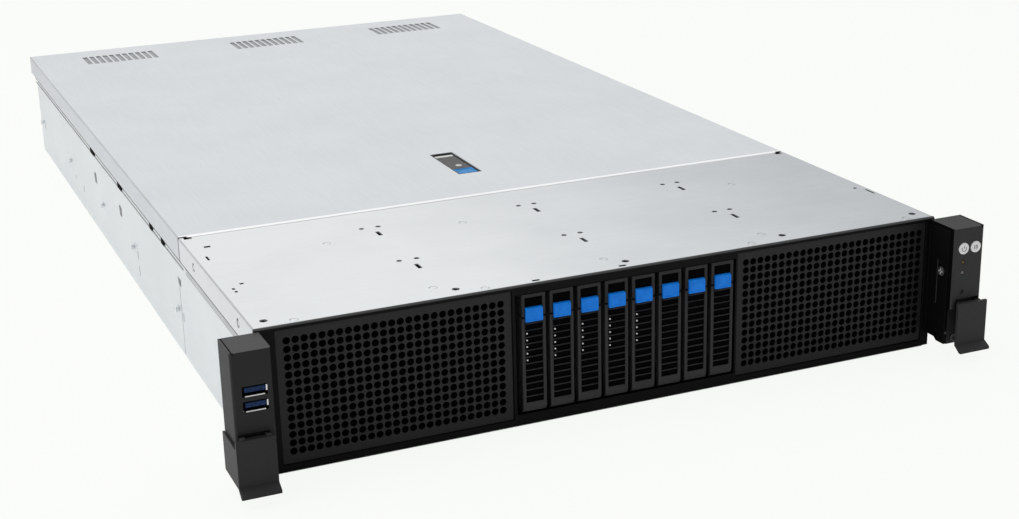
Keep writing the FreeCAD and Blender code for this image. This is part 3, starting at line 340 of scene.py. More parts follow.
button_blue = moulding("button_blue", (0.004, 0.22, 0.90), (0.01, 0.28, 1.0), 0.45)
tip_blue = moulding("release_blue", (0.015, 0.20, 0.52), (0.03, 0.27, 0.62), 0.5)
button_white = moulding("button_white", grey(0.94), grey(0.97), 0.35)
tab_orange = moulding("tab_orange", (0.60, 0.14, 0.01), (0.70, 0.19, 0.02), 0.4)
tongue_blue = moulding("tongue_blue", (0.001, 0.006, 0.03), (0.008, 0.045, 0.16), 0.5, 1100.0)
mark_grey = moulding("mark_grey", grey(0.16, 0.01), grey(0.22, 0.01), 0.5)
label_pale = moulding("pale_moulding", (0.62, 0.63, 0.62), (0.72, 0.73, 0.72), 0.45)
lamp_amber = moulding("lamp_amber", (0.09, 0.07, 0.02), (0.14, 0.105, 0.03), 0.4)
lamp_grey = moulding("lamp_grey", (0.16, 0.16, 0.15), (0.24, 0.24, 0.23), 0.3)
print("coloured finishes made")


# %% Bright metal, boards and bare aluminium
def bright_metal(name, dark, light, low, high):
    """Plated or bare metal with fine streaks in its gloss."""
    finish = start_finish(name, light, low, metallic=1.0)
    streaks = add_noise(finish, 700.0, 3.0, (1.0, 0.2, 1.0))
    tint(finish, streaks, dark, light)
    vary_roughness(finish, streaks, low, high)
    return finish


def circuit_green(name):
    """Solder resist over copper: two greens, with the copper's relief just showing."""
    finish = start_finish(name, (0.01, 0.10, 0.04), 0.35, specular=0.5)
    copper = add_noise(finish, 300.0, 6.0, (1.0, 0.3, 1.0))
    tint(finish, copper, (0.006, 0.07, 0.03), (0.015, 0.14, 0.06))
    add_bump(finish, copper, 0.00005, 0.4)
    return finish


bright_steel = bright_metal("bright_steel", (0.55, 0.56, 0.57), (0.70, 0.71, 0.72), 0.22, 0.4)
aluminium = bright_metal("bare_aluminium", (0.68, 0.69, 0.70), (0.80, 0.81, 0.82), 0.3, 0.45)
drive_grey = bright_metal("cast_drive", (0.45, 0.46, 0.47), (0.55, 0.56, 0.57), 0.4, 0.55)
supply_grey = bright_metal("supply_sheet", (0.50, 0.51, 0.52), (0.60, 0.61, 0.62), 0.35, 0.5)
contact_gold = bright_metal("contact_gold", (0.75, 0.55, 0.25), (0.85, 0.65, 0.32), 0.25, 0.4)
board_green = circuit_green("board_green")
print("metal and board finishes made")

# %% [markdown]
# ## Dressing the measured parts
# Every measured part gets its finish first. Parts that stay hidden, such as the fans and the
# main board, keep their measured mesh. The ones in view are modelled again further down.

# %% Dress every measured node
finish_of_slot = {
    "galvanised_steel": zinc_wall, "black_steel": paint_black, "black_plastic": ear_black,
    "blue_plastic": button_blue, "white_plastic": button_white, "bright_steel": bright_steel,
    "circuit_board": board_green, "aluminium": aluminium, "fan_plastic": fan_black,
    "orange_plastic": tab_orange,
}
finish_of_node = {"rear_cover": zinc_rear, "front_cover": zinc_front, "latch_lever": lever_grey,
                  "latch_tip": tip_blue}
slot_of = {part["node"]: part["material_slot"] for part in frame["record"]["subparts"]}
bodies = frame["record"]["behaviour"]["bodies"]
body_of = {name: body for body, members in bodies.items() for name in members}


def dress(thing, finish):
    """Give an object one finish all over."""
    thing.data.materials.clear()
    thing.data.materials.append(finish)


for name in nodes:
    plain = tray_black if name.startswith("tray") else finish_of_slot[slot_of[name]]
    dress(nodes[name], finish_of_node.get(name, plain))
print("dressed", len(nodes), "measured parts")

# %% [markdown]
# ## Tools for modelling
# A piece starts as a block or a bar between two corners, or as a copy of a measured part.
# Faces and edges are then picked by where they are and which way they point, much as they
# would be clicked by hand, and shaped with the ordinary edit mode operators.

# %% Blocks and bars
mm = 0.001


def alone(piece):
    """Select one object and nothing else."""
    bpy.ops.object.select_all(action="DESELECT")
    piece.select_set(True)
    bpy.context.view_layer.objects.active = piece


def start_block(name, low, high):
    """A block between two corners."""
    low, high = Vector(low), Vector(high)
    return start(name, bpy.ops.mesh.primitive_cube_add, size=1.0, location=(low + high) / 2,
                 scale=high - low)


def start_bar(name, radius, start_point, end_point, sides=20):
    """A round bar between two points."""
    near, far = Vector(start_point), Vector(end_point)
    return start(name, bpy.ops.mesh.primitive_cylinder_add, vertices=sides, radius=radius,
                 depth=(far - near).length, location=(near + far) / 2,
                 rotation=(far - near).to_track_quat("Z", "Y").to_euler())


print("blocks and bars ready")

# %% Picking by place and direction
def pick(piece, test, kind="FACE"):
    """Open a piece with only the faces or edges selected that pass a test of middle and direction."""
    if bpy.context.mode != "EDIT_MESH":
        alone(piece)
        bpy.ops.object.mode_set(mode="EDIT")
    bpy.ops.mesh.select_mode(type=kind)
    bpy.ops.mesh.select_all(action="DESELECT")
    mesh = bmesh.from_edit_mesh(piece.data)
    if kind == "FACE":
        chosen = [face for face in mesh.faces if test(face.calc_center_median(), face.normal)]
    else:
        chosen = [edge for edge in mesh.edges
                  if test((edge.verts[0].co + edge.verts[1].co) / 2,
                          (edge.verts[1].co - edge.verts[0].co).normalized())]
    for part in chosen:
        part.select_set(True)
    bmesh.update_edit_mesh(piece.data)
    return len(chosen)


def close(piece):
    """Leave edit mode."""
    bpy.ops.object.mode_set(mode="OBJECT")
    return piece


print("picking ready")


# %% Faces and edges by the way they point
def to_front(middle, normal):
    """True for a face that looks forward."""
    return normal.y < -0.9


def to_rear(middle, normal):
    """True for a face that looks back."""
    return normal.y > 0.9


def to_ends(middle, normal):
    """True for a face that looks forward or back."""
    return abs(normal.y) > 0.9


def to_sides(middle, normal):
    """True for a face that looks left or right."""
    return abs(normal.x) > 0.9


def to_top(middle, normal):
    """True for a face that looks up."""
    return normal.z > 0.9


def anything(middle, way):
    """True for every face and every edge."""
    return True


print("directions named")


# %% Insets, pushes and bevels by hand
def inset(piece, test, thickness, depth=0.0, each=False):
    """Inset the faces that pass a test, by millimetres, and leave the piece open."""
    pick(piece, test)
    bpy.ops.mesh.inset(thickness=thickness * mm, depth=depth * mm, use_individual=each)
    return piece


def push(shift):
    """Extrude what is selected by a shift in metres."""
    bpy.ops.mesh.extrude_region_move(TRANSFORM_OT_translate={"value": shift})


def bevel(piece, test, width, segments):
    """Bevel the edges that pass a test by millimetres, and give their number."""
    count = pick(piece, test, "EDGE")
    bpy.ops.mesh.bevel(offset=width * mm, segments=segments)
    close(piece)
    return count


def split_at(piece, y):
    """Cut an edge right round a piece at one place along the server."""
    pick(piece, anything)
    bpy.ops.mesh.bisect(plane_co=(0, y, 0), plane_no=(0, 1, 0))
    close(piece)


print("insets and bevels ready")


# %% Modifiers, carving and soft edges
def add_and_apply(piece, kind, **settings):
    """Add a modifier, set it and apply it."""
    modifier = piece.modifiers.new(kind.lower(), kind)
    for name, value in settings.items():
        setattr(modifier, name, value)
    alone(piece)
    bpy.ops.object.modifier_apply(modifier=modifier.name)


def carve(piece, cutter):
    """Cut one shape out of another."""
    add_and_apply(piece, "BOOLEAN", object=cutter, operation="DIFFERENCE", solver="EXACT")
    bpy.data.objects.remove(cutter)


def soften(piece, width, segments=2):
    """Round every sharp edge and keep the broad faces flat in shading."""
    add_and_apply(piece, "BEVEL", width=width, segments=segments, limit_method="ANGLE",
                  angle_limit=math.radians(35.0), use_clamp_overlap=True)
    alone(piece)
    bpy.ops.object.shade_smooth_by_angle(angle=math.radians(46.0))
    add_and_apply(piece, "WEIGHTED_NORMAL", keep_sharp=True)
    return piece


print("carving and soft edges ready")

# %% Copies, joins and places
def copy_of(node, name):
    """A merged copy of a measured part, without the inner edges of its flat faces."""
    piece = bpy.data.objects.new(name, nodes[node].data.copy())
    bpy.context.collection.objects.link(piece)
    alone(piece)
    bpy.ops.object.mode_set(mode="EDIT")
    bpy.ops.mesh.select_mode(type="VERT")
    bpy.ops.mesh.select_all(action="SELECT")
    bpy.ops.mesh.remove_doubles(threshold=0.000002)
    bpy.ops.mesh.dissolve_limited(angle_limit=math.radians(0.5))
    return close(piece)


def copy_along(piece, name, shift):
    """A copy with a mesh of its own, moved by a shift."""
    twin = piece.copy()
    twin.data = piece.data.copy()
    twin.data.transform(Matrix.Translation(shift))
    twin.name = name
    bpy.context.collection.objects.link(twin)
    return twin


def mirror_of(piece, name):
    """A copy on the other side of the server's middle plane, with its faces turned out again."""
    twin = copy_along(piece, name, (0.0, 0.0, 0.0))
    twin.data.transform(Matrix.Scale(-1.0, 4, (1.0, 0.0, 0.0)))
    pick(twin, anything)
    bpy.ops.mesh.flip_normals()
    return close(twin)


def join(name, pieces):
    """Make one object of several."""
    bpy.ops.object.select_all(action="DESELECT")
    for piece in pieces:
        piece.select_set(True)
    bpy.context.view_layer.objects.active = pieces[0]
    bpy.ops.object.join()
    pieces[0].name = name
    return pieces[0]


def place(piece, finish, body, slot, *stands_for):
    """Give a piece its finish, its body and the measured parts it stands for. The record slot is not used.
    """
    if finish is not None:
        dress(piece, finish)
    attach(piece, body)
    if stands_for:
        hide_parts(*stands_for)
    return piece


def trim_with(piece, finish, test):
    """Give the faces that pass a test of middle and direction a finish of their own."""
    piece.data.materials.append(finish)
    for face in piece.data.polygons:
        if test(face.center, face.normal):
            face.material_index = len(piece.data.materials) - 1


def both_sides(pieces, name, finish, body, slot):
    """Join pieces of the right side, place them, and place their mirror image on the left."""
    right = join(f"right_{name}", pieces)
    place(mirror_of(right, f"left_{name}"), finish, body, slot)
    place(right, finish, body, slot)


def soft_copy(node, name, width, segments=2, finish=None):
    """A measured part with softened edges that stands for it."""
    piece = soften(copy_of(node, name), width, segments)
    return place(piece, finish or nodes[node].data.materials[0], body_of[node], slot_of[node], node)


print("copies and places ready")

# %% [markdown]
# ## Covers
# Both covers are folded sheet. A fold never shows a knife edge, so every edge is softened.
# The rear cover's front edge is hemmed and rolled over. A strip along its top, where it meets
# the front cover, is painted a lighter zinc as a painted highlight, and the folds are
# painted a darker zinc as painted shade.

# %% Folds
face_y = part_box("tray_1")[0].y
cover_low, cover_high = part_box("rear_cover")
seam_y = cover_low.y
top_z = cover_high.z


def round_fold(cover):
    """Round the two long folds of a cover."""
    edge = Vector(cover.bound_box[6])
    return bevel(cover, lambda middle, along: abs(abs(middle.x) - edge.x) < 0.1 * mm
                 and middle.z > edge.z - 0.1 * mm and abs(along.y) > 0.9, 0.5, 3)


def on_fold(middle, normal):
    """True on the rounded folds along a cover's sides, which get a darker zinc as painted shade."""
    return abs(normal.x) > 0.2 and normal.z > 0.2


print("seam at", round(seam_y, 4), "and top at", round(top_z, 4))

# %% Vent slots of the rear cover
vent_y = (face_y + 737.0 * mm, face_y + 771.0 * mm)
vent_middles = (-142.5, -1.7, 139.5)
vent_slots = 11
vent_pitch = 6.1 * mm
vent_half = 2.1 * mm

rear_cover = copy_of("rear_cover", "rear_cover_sheet")
wide_slots = []
for group in vent_middles:
    for n in range(vent_slots):
        x = group * mm + (n - vent_slots // 2) * vent_pitch
        wide_slots.append(start_block("wide_slot", (x - vent_half, vent_y[0], top_z - 4 * mm),
                                      (x + vent_half, vent_y[1], top_z + mm)))
print("vent slots:", len(wide_slots))
carve(rear_cover, join("wide_slots", wide_slots))

# %% Seam gaps, folds and hem of the rear cover
hem_width = 3.6 * mm

for side in (-1, 1):
    x = sorted((side * 213.4 * mm, side * 219.5 * mm))
    carve(rear_cover, start_block("seam_gap", (x[0], seam_y - mm, top_z - 16 * mm),
                                  (x[1], seam_y + 1.6 * mm, top_z + mm)))
round_fold(rear_cover)
hem_edges = bevel(rear_cover, lambda middle, along: abs(middle.y - seam_y) < 0.1 * mm
                  and middle.z > top_z - 0.1 * mm and abs(along.x) > 0.9, 0.6, 3)
split_at(rear_cover, seam_y + hem_width)
soften(rear_cover, 0.18 * mm)
dress(rear_cover, zinc_rear)
# Painted shade: the folds get a darker zinc.
trim_with(rear_cover, fold_painted_shade, on_fold)
# Painted highlight: a strip along the hem's top gets a lighter zinc.
trim_with(rear_cover, hem_painted_highlight, lambda middle, normal: middle.y < seam_y + hem_width
          and normal.z > 0.4 and abs(middle.x) < 213.0 * mm)
place(rear_cover, None, body_of["rear_cover"], slot_of["rear_cover"], "rear_cover")
print("rear cover:", len(rear_cover.data.polygons), "faces,", hem_edges, "hem edges")

# %% Dark strip in the seam's ends
seam_strip = start_block("seam_strip", (212.6 * mm, seam_y - 0.8 * mm, top_z - 15 * mm),
                         (218.6 * mm, seam_y + 1.9 * mm, top_z - 0.4 * mm))
inset(seam_strip, to_top, 0.2)
both_sides([close(seam_strip)], "seam_strip", shade_black, "root", "black_plastic")
print("seam strips placed")

# %% Rivets of the front cover
# Flush rivets hold the front cover to the drive cage. Each sits in a shallow round dimple.
front_cover = copy_of("front_cover", "front_cover_sheet")
rivet_places = [(-138.9, 124.7), (-48.8, 126.0), (144.3, 122.2), (-109.5, 19.4), (-1.8, 20.4),
                (104.9, 19.0), (-83.4, 5.5), (90.5, 6.2), (201.3, 5.6), (-194.9, 5.6)]
dimples = []
rivets = []
for x, y in rivet_places:
    spot = Vector((x * mm, face_y + y * mm, top_z))
    dimples.append(start_bar("dimple", 2.5 * mm, spot - Vector((0, 0, 0.4 * mm)),
                             spot + Vector((0, 0, mm))))
    rivet = start_bar("rivet", 2.1 * mm, spot - Vector((0, 0, 0.45 * mm)),
                      spot - Vector((0, 0, 0.02 * mm)))
    bevel(rivet, lambda middle, along: middle.z > top_z - 0.1 * mm, 0.3, 3)
    rivets.append(rivet)
carve(front_cover, join("dimples", dimples))
place(join("cover_rivets", rivets), zinc_front, "root", "galvanised_steel")
print("front cover with", len(rivet_places), "rivets")

# %% Slits of the front cover
# Each slit is (left, right, near, far) in millimetres, and a black block just below it is painted shade.
slit_spans = [(-208.7, -204.7, 150.9, 154.1), (-212.5, -211.1, 126.2, 134.2),
              (-206.4, -204.0, 74.9, 77.3), (-212.5, -210.9, 67.8, 70.6),
              (-212.3, -210.7, 62.6, 65.2), (215.0, 216.4, 60.0, 70.0),
              (210.2, 212.6, 74.7, 77.1), (-54.8, -50.2, 3.4, 5.8), (0.5, 5.1, 3.8, 6.2)]
slits = []
shade_blocks = []
for left, right, near, far in slit_spans:
    slits.append(start_block("slit", (left * mm, face_y + near * mm, top_z - 2 * mm),
                             (right * mm, face_y + far * mm, top_z + mm)))
    shade_blocks.append(start_block("slit_painted_shade",
                              ((left - 0.5) * mm, face_y + (near - 0.5) * mm, top_z - 0.9 * mm),
                              ((right + 0.5) * mm, face_y + (far + 0.5) * mm, top_z - 0.3 * mm)))
carve(front_cover, join("slits", slits))
place(join("slit_painted_shades", shade_blocks), shade_black, "root", "black_plastic")
print("slits:", len(slit_spans))

# %% Folds and rear edge of the front cover
rear_strip = 1.9 * mm
front_cover_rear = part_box("front_cover")[1].y

round_fold(front_cover)
split_at(front_cover, front_cover_rear - rear_strip)
soften(front_cover, 0.18 * mm)
dress(front_cover, zinc_front)
# Painted shade: the folds get a darker zinc.
trim_with(front_cover, fold_painted_shade, on_fold)
# Painted shade: a strip along the rear edge, at the seam, gets a darker zinc.
trim_with(front_cover, band_painted_shade_and_specks,
          lambda middle, normal: middle.y > front_cover_rear - rear_strip and normal.z > 0.4)
place(front_cover, None, "root", "galvanised_steel", "front_cover")
print("front cover:", len(front_cover.data.polygons), "faces")

# %% [markdown]
# ## Light baffle under the vents
# A plain steel baffle lies just under the slots at the back of the rear cover. It stops a
# finger, and it is why the slots look grey and not black. Its darker grey is painted shade under the cover.

# %% Vent baffle
baffle = start_block("vent_baffle",
                     (cover_low.x + 12 * mm, cover_high.y - 66 * mm, top_z - 1.6 * mm),
                     (cover_high.x - 12 * mm, cover_high.y - 26 * mm, top_z - 0.7 * mm))
close(inset(baffle, to_top, 3.0))
place(soften(baffle, 0.15 * mm), vent_baffle_painted_shade, "rear_cover", "galvanised_steel")
print("baffle under the vents")

# %% [markdown]
# ## Perforated panels
# Each panel is a folded steel sheet with 26 by 14 round holes. One square cell with one hole
# is modelled, an array repeats it, and the border and the folded sides are pulled out of its
# edge. The cell has sixteen faces, because it is repeated hundreds of times.

# %% One cell with a hole
hole_pitch = 5.0 * mm
hole_radius = 2.15 * mm
hole_columns = 26
hole_rows = 14
first_row = 7.0 * mm
on_line = 0.02 * mm
panel_sheet = 1.0 * mm


def start_cell(name, middle):
    """A square of sheet round one hole, facing the front."""
    upright = (math.radians(90.0), 0.0, 0.0)
    cell = start(name, bpy.ops.mesh.primitive_plane_add, size=hole_pitch, location=middle, rotation=upright)
    pick(cell, anything)
    bpy.ops.mesh.delete(type="ONLY_FACE")
    pick(cell, anything, "EDGE")
    bpy.ops.mesh.subdivide(number_cuts=3)
    bpy.ops.mesh.primitive_circle_add(vertices=16, radius=hole_radius, location=middle, rotation=upright)
    pick(cell, anything, "EDGE")
    bpy.ops.mesh.bridge_edge_loops()
    return close(cell)


print("a panel has", hole_columns * hole_rows, "holes")


# %% A row of cells grown into a panel
def repeat_cell(panel, count, step):
    """Repeat a sheet along a step and merge its seams."""
    add_and_apply(panel, "ARRAY", count=count, use_relative_offset=False, use_constant_offset=True,
                  constant_offset_displace=step, use_merge_vertices=True, merge_threshold=0.01 * mm)


def pull_edge(piece, axis, at, shift):
    """Extrude the edges that lie at one place along an axis."""
    pick(piece, lambda middle, along: abs(middle[axis] - at) < on_line, "EDGE")
    push(shift)
    close(piece)


def perforated_panel(node, name, first_hole):
    """A panel of holes with a plain border and four sides folded back."""
    low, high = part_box(node)
    first_z = low.z + first_row
    panel = start_cell(name, (low.x + first_hole, low.y, first_z))
    repeat_cell(panel, hole_columns, (hole_pitch, 0.0, 0.0))
    repeat_cell(panel, hole_rows, (0.0, 0.0, hole_pitch))
    left = low.x + first_hole - hole_pitch / 2
    right = left + hole_columns * hole_pitch
    bottom = first_z - hole_pitch / 2
    top = bottom + hole_rows * hole_pitch
    pull_edge(panel, 0, left, (low.x - left, 0, 0))
    pull_edge(panel, 0, right, (high.x - right, 0, 0))
    pull_edge(panel, 2, bottom, (0, 0, low.z - bottom))
    pull_edge(panel, 2, top, (0, 0, high.z - top))
    pick(panel, lambda middle, along: min(abs(middle.x - low.x), abs(middle.x - high.x),
                                          abs(middle.z - low.z), abs(middle.z - high.z)) < on_line, "EDGE")
    push((0, high.y - low.y, 0))
    pick(panel, anything)
    bpy.ops.mesh.normals_make_consistent(inside=False)
    if pick(panel, to_rear) > 0:
        pick(panel, anything)
        bpy.ops.mesh.flip_normals()
    close(panel)
    add_and_apply(panel, "SOLIDIFY", thickness=panel_sheet, offset=-1.0)
    alone(panel)
    bpy.ops.object.shade_smooth_by_angle(angle=math.radians(30.0))
    place(panel, panel_black, "root", "black_steel", node)
    print(name, "has", len(panel.data.polygons), "faces")


# %% Both panels and the black sheets of painted shade behind them
# A black sheet behind each panel is painted shade, and makes the holes look black.
painted_shade_margin = 1.2 * mm

for node, name, first_hole in (("grille_left", "left", 6.2), ("grille_right", "right", 5.9)):
    perforated_panel(node, f"{name}_panel", first_hole * mm)
    low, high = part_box(node)
    painted_shade_sheet = start_block(f"{name}_screen",
                         (low.x + painted_shade_margin, low.y + 5.4 * mm, low.z + painted_shade_margin),
                         (high.x - painted_shade_margin, low.y + 6.0 * mm, high.z - painted_shade_margin))
    inset(painted_shade_sheet, to_ends, 2.0, -0.2, True)
    place(soften(close(painted_shade_sheet), 0.1 * mm, 1), shade_black, "root", "black_steel")
print("both panels have their screens")

# %% [markdown]
# ## Front frame
# The frame is bent sheet with a rounded top edge that catches the light; a band along its top
# is painted a lighter grey as a painted highlight. It keeps the measured shape, and its edges are softened.

# %% Frame
low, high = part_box("front_frame")
front_frame = copy_of("front_frame", "front_frame_sheet")
bevel(front_frame, lambda middle, along: middle.z > high.z - 0.1 * mm
      and middle.y < low.y + 0.1 * mm and abs(along.x) > 0.9, 2.0, 4)
soften(front_frame, 0.3 * mm)
dress(front_frame, frame_black)
# Painted highlight: the faces along the top edge get a lighter grey.
trim_with(front_frame, edge_highlight_and_screw_grey, lambda middle, normal: normal.z > 0.3 and middle.z > high.z - 2.5 * mm)
place(front_frame, None, "root", slot_of["front_frame"], "front_frame")
print("front frame:", len(front_frame.data.polygons), "faces")

# %% A rivet in the frame's right corner
rivet_x, rivet_z = 217.4 * mm, 15.9 * mm
rivet = start_bar("frame_rivet", 0.8 * mm, (rivet_x, low.y - 0.15 * mm, rivet_z),
                  (rivet_x, low.y + 0.5 * mm, rivet_z), 12)
close(inset(rivet, to_front, 0.25))
place(soften(rivet, 0.1 * mm), lever_grey, "root", "bright_steel")
print("frame rivet placed")

# %% [markdown]
# ## Drive trays
# All eight trays are alike, so the first is modelled and the others are copies of it. The
# drive inside is bare cast metal, and shows when the tray is out.

# %% Copies in every bay
bay_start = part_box("tray_1")[0]
tray_count = sum(1 for name in nodes if name.startswith("tray_lever"))


def repeat_in_bays(model, stem, finish, body, slot, stands_for=None, bays=tray_count):
    """Place a copy of the first bay's piece on the same body of every bay, and drop the model."""
    for n in range(1, bays + 1):
        shift = Vector((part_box(f"tray_{n}")[0].x - bay_start.x, 0.0, 0.0))
        replaced = [f"{stands_for}_{n}"] if stands_for else []
        place(copy_along(model, f"{stem}_{n}", shift), finish, f"{body}_{n}", slot, *replaced)
    bpy.data.objects.remove(model)


print("trays to fill:", tray_count)

# %% Carrier and drive
carrier = copy_of("tray_1", "carrier")
alone(carrier)
bpy.ops.object.mode_set(mode="EDIT")
bpy.ops.mesh.separate(type="LOOSE")
bpy.ops.object.mode_set(mode="OBJECT")
loose = sorted(bpy.context.selected_objects, key=lambda piece: min(corner[1] for corner in piece.bound_box))
carrier, drive = loose[0], loose[-1]
soften(carrier, 0.3 * mm)
inset(drive, to_sides, 3.0, -0.4, True)
soften(close(drive), 0.5 * mm, 3)
repeat_in_bays(carrier, "carrier", tray_black, "tray", "black_plastic", "tray")
repeat_in_bays(drive, "drive", drive_grey, "tray", "aluminium")
print("carriers and drives placed")

# %% Slotted lever
slot_count = 12
slot_pitch = 4.08
slot_foot, slot_head = 14.5, 18.05
low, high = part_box("tray_lever_1")

lever = copy_of("tray_lever_1", "lever")
tall_slots = [start_block("tall_slot", (low.x + 1.8 * mm, low.y - mm, (slot_foot + slot_pitch * n) * mm),
                          (high.x - 1.8 * mm, high.y + mm, (slot_head + slot_pitch * n) * mm))
              for n in range(slot_count)]
carve(lever, join("tall_slots", tall_slots))
soften(lever, 0.12 * mm)
repeat_in_bays(lever, "slotted_lever", lever_black, "tray_lever", "black_plastic", "tray_lever")
print("levers placed")

# %% Painted shade: dark screens behind the slots, and a dark screen over the button
button_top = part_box("tray_button_1")[1].z - 1.3 * mm

slot_screen = start_block("slot_screen", (low.x + 1.2 * mm, low.y + 0.7 * mm, 14.0 * mm),
                          (high.x - 1.2 * mm, low.y + 1.5 * mm, 63.2 * mm))
close(inset(slot_screen, to_front, 0.4))
repeat_in_bays(slot_screen, "slot_screen", shade_black, "tray_lever", "black_plastic")
window_screen = start_block("window_screen", (low.x + 1.6 * mm, low.y + 0.8 * mm, button_top + 0.15 * mm),
                            (high.x - 1.6 * mm, low.y + 1.4 * mm, 79.3 * mm))
close(inset(window_screen, to_front, 0.3))
repeat_in_bays(window_screen, "window_screen", shade_black, "tray", "black_plastic")
print("screens placed")

# %% Fine parting ticks beside the button
ticks = [start_block("tick", (x, low.y - 0.03 * mm, 66.5 * mm), (x + 1.9 * mm, low.y + 0.5 * mm, 67.4 * mm))
         for x in (low.x - 0.05 * mm, high.x - 1.85 * mm)]
repeat_in_bays(join("tick", ticks), "split_tick", shade_black, "tray_lever", "black_plastic")
print("ticks placed")

# %% Release button
# The button's face is a little dished for the fingertip, and its top edge is cut back.
low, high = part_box("tray_button_1")
button = start_block("button", low, high - Vector((0, 0, 1.3 * mm)))
bevel(button, lambda middle, along: middle.z > high.z - 1.4 * mm and middle.y < low.y + 0.1 * mm
      and abs(along.x) > 0.9, 1.4, 2)
inset(button, to_front, 0.8)
push((0, 0.3 * mm, 0))
soften(close(button), 0.45 * mm, 3)
repeat_in_bays(button, "release_button", button_blue, "tray_button", "blue_plastic", "tray_button")
print("buttons placed")

# %% White studs in the slots
# Five small white studs sit at the left of the slots in each of the first five bays.
white_stud_bays = 5
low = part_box("tray_lever_1")[0]
studs = []
for n in range(5):
    spot = Vector((low.x + 3.1 * mm, low.y + 0.15 * mm, (40.9 + slot_pitch * n) * mm))
    stud = start_bar("white_stud", 0.5 * mm, spot, spot + Vector((0, 0.9 * mm, 0)), 8)
    studs.append(close(inset(stud, to_front, 0.12, 0.08)))
repeat_in_bays(join("white_studs", studs), "white_studs", button_white, "tray_lever", "white_plastic",
               bays=white_stud_bays)
print("light studs placed in", white_stud_bays, "bays")

# %% [markdown]
# ## Rack ears
# The ears are moulded plastic. Each top has a fine groove along its outer edge that ends in
# a small hole, and the front has softly rounded corners. The hinged latch below hides the
# captive rack screw.

# %% A groove and a hole in each ear's top
groove_inset = 1.0 * mm
groove_width = 0.7 * mm


def groove_ear(ear, outer_x, side):
    """Cut the fine groove and the hole beside the outer edge of an ear's top."""
    low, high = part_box("right_ear")
    inner = outer_x - side * groove_inset
    x = sorted((inner, inner - side * groove_width))
    carve(ear, start_block("groove", (x[0], low.y + 3.0 * mm, high.z - 1.2 * mm),
                           (x[1], high.y - 1.0 * mm, high.z + mm)))
    spot = Vector((inner - side * 0.5 * mm, low.y + 3.0 * mm, high.z))
    carve(ear, start_bar("hole", 0.95 * mm, spot - Vector((0, 0, 1.4 * mm)), spot + Vector((0, 0, mm)), 12))


# Each ear's top gets a finish of its own as painted light: lighter on the left ear as a painted highlight,
# and darker on the right ear as painted shade.
for node, side, body_finish, top_painted_light in (("right_ear", 1, ear_grey, ear_black),
                                            ("left_ear", -1, ear_black, ear_top_painted_highlight)):
    low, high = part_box(node)
    ear = copy_of(node, f"{node}_moulding")
    groove_ear(ear, high.x if side > 0 else low.x, side)
    soften(ear, 0.5 * mm)
    dress(ear, body_finish)
    trim_with(ear, top_painted_light, lambda middle, normal: normal.z > 0.8)
    trim_with(ear, shade_black, lambda middle, normal: side * normal.x < -0.9)
    place(ear, None, "root", "black_plastic", node)
    print(node, "with", len(ear.data.polygons), "faces")

# %% Ear latches
soft_copy("left_ear_latch", "left_latch_cover", 0.45 * mm, 2, latch_black)
soft_copy("right_ear_latch", "right_latch_cover", 0.45 * mm, 2, ear_grey)
print("ear latches softened")

# %% [markdown]
# ## Ear buttons and lamps
# Two white caps carry the power mark and the letters ID. The marks are inlaid: each is a
# thin grey piece set into the cap's face.

# %% Caps
def cap(node, name):
    """A white cap with a rounded rim. Gives the middle of its face."""
    low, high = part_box(node)
    middle = (low + high) / 2
    piece = start_bar(name, (high.x - low.x) / 2, (middle.x, low.y, middle.z),
                      (middle.x, high.y, middle.z), 40)
    soften(close(inset(piece, to_front, 0.5)), 0.35 * mm, 3)
    place(piece, button_white, body_of[node], "white_plastic", node)
    return Vector((middle.x, low.y, middle.z))


power_face = cap("power_button", "power_cap")
id_face = cap("id_button", "id_cap")
print("caps at", round(power_face.x, 4), "and", round(id_face.x, 4))


# %% Strokes of the marks
def mark_bar(name, face, across, wide, up, tall):
    """One straight stroke of a mark, just proud of a cap."""
    low = (face.x + (across - wide / 2) * mm, face.y - 0.06 * mm, face.z + (up - tall / 2) * mm)
    high = (face.x + (across + wide / 2) * mm, face.y + 0.3 * mm, face.z + (up + tall / 2) * mm)
    return start_block(name, low, high)


def mark_ring(name, face, across, radius, keep):
    """A bent stroke: a ring with the part that fails a test deleted and its ends closed."""
    centre = Vector((face.x + across * mm, face.y + 0.05 * mm, face.z))
    ring = start(name, bpy.ops.mesh.primitive_torus_add, location=centre,
                 rotation=(math.radians(90.0), 0.0, 0.0), major_segments=32, minor_segments=8,
                 major_radius=radius * mm, minor_radius=0.22 * mm)
    pick(ring, lambda place, normal: not keep(place - centre))
    bpy.ops.mesh.delete(type="FACE")
    pick(ring, lambda place, along: False, "EDGE")
    bpy.ops.mesh.select_non_manifold()
    bpy.ops.mesh.edge_face_add()
    return close(ring)


print("strokes ready")

# %% Power mark and ID mark
stroke = 0.42
power_mark = join("power_mark", [
    mark_bar("stroke", power_face, 0.0, stroke, 1.05, 1.9),
    mark_ring("ring", power_face, 0.0, 1.65, lambda way: way.z < 0.9 * mm),
])
place(power_mark, mark_grey, "power_button", "black_plastic")
id_mark = join("id_mark", [
    mark_bar("stroke_i", id_face, -1.25, stroke, 0.0, 2.6),
    mark_bar("stroke_d", id_face, -0.1, stroke, 0.0, 2.6),
    mark_ring("bow", id_face, -0.1, 1.15, lambda way: way.x > 0.0),
])
place(id_mark, mark_grey, "id_button", "black_plastic")
print("marks placed")

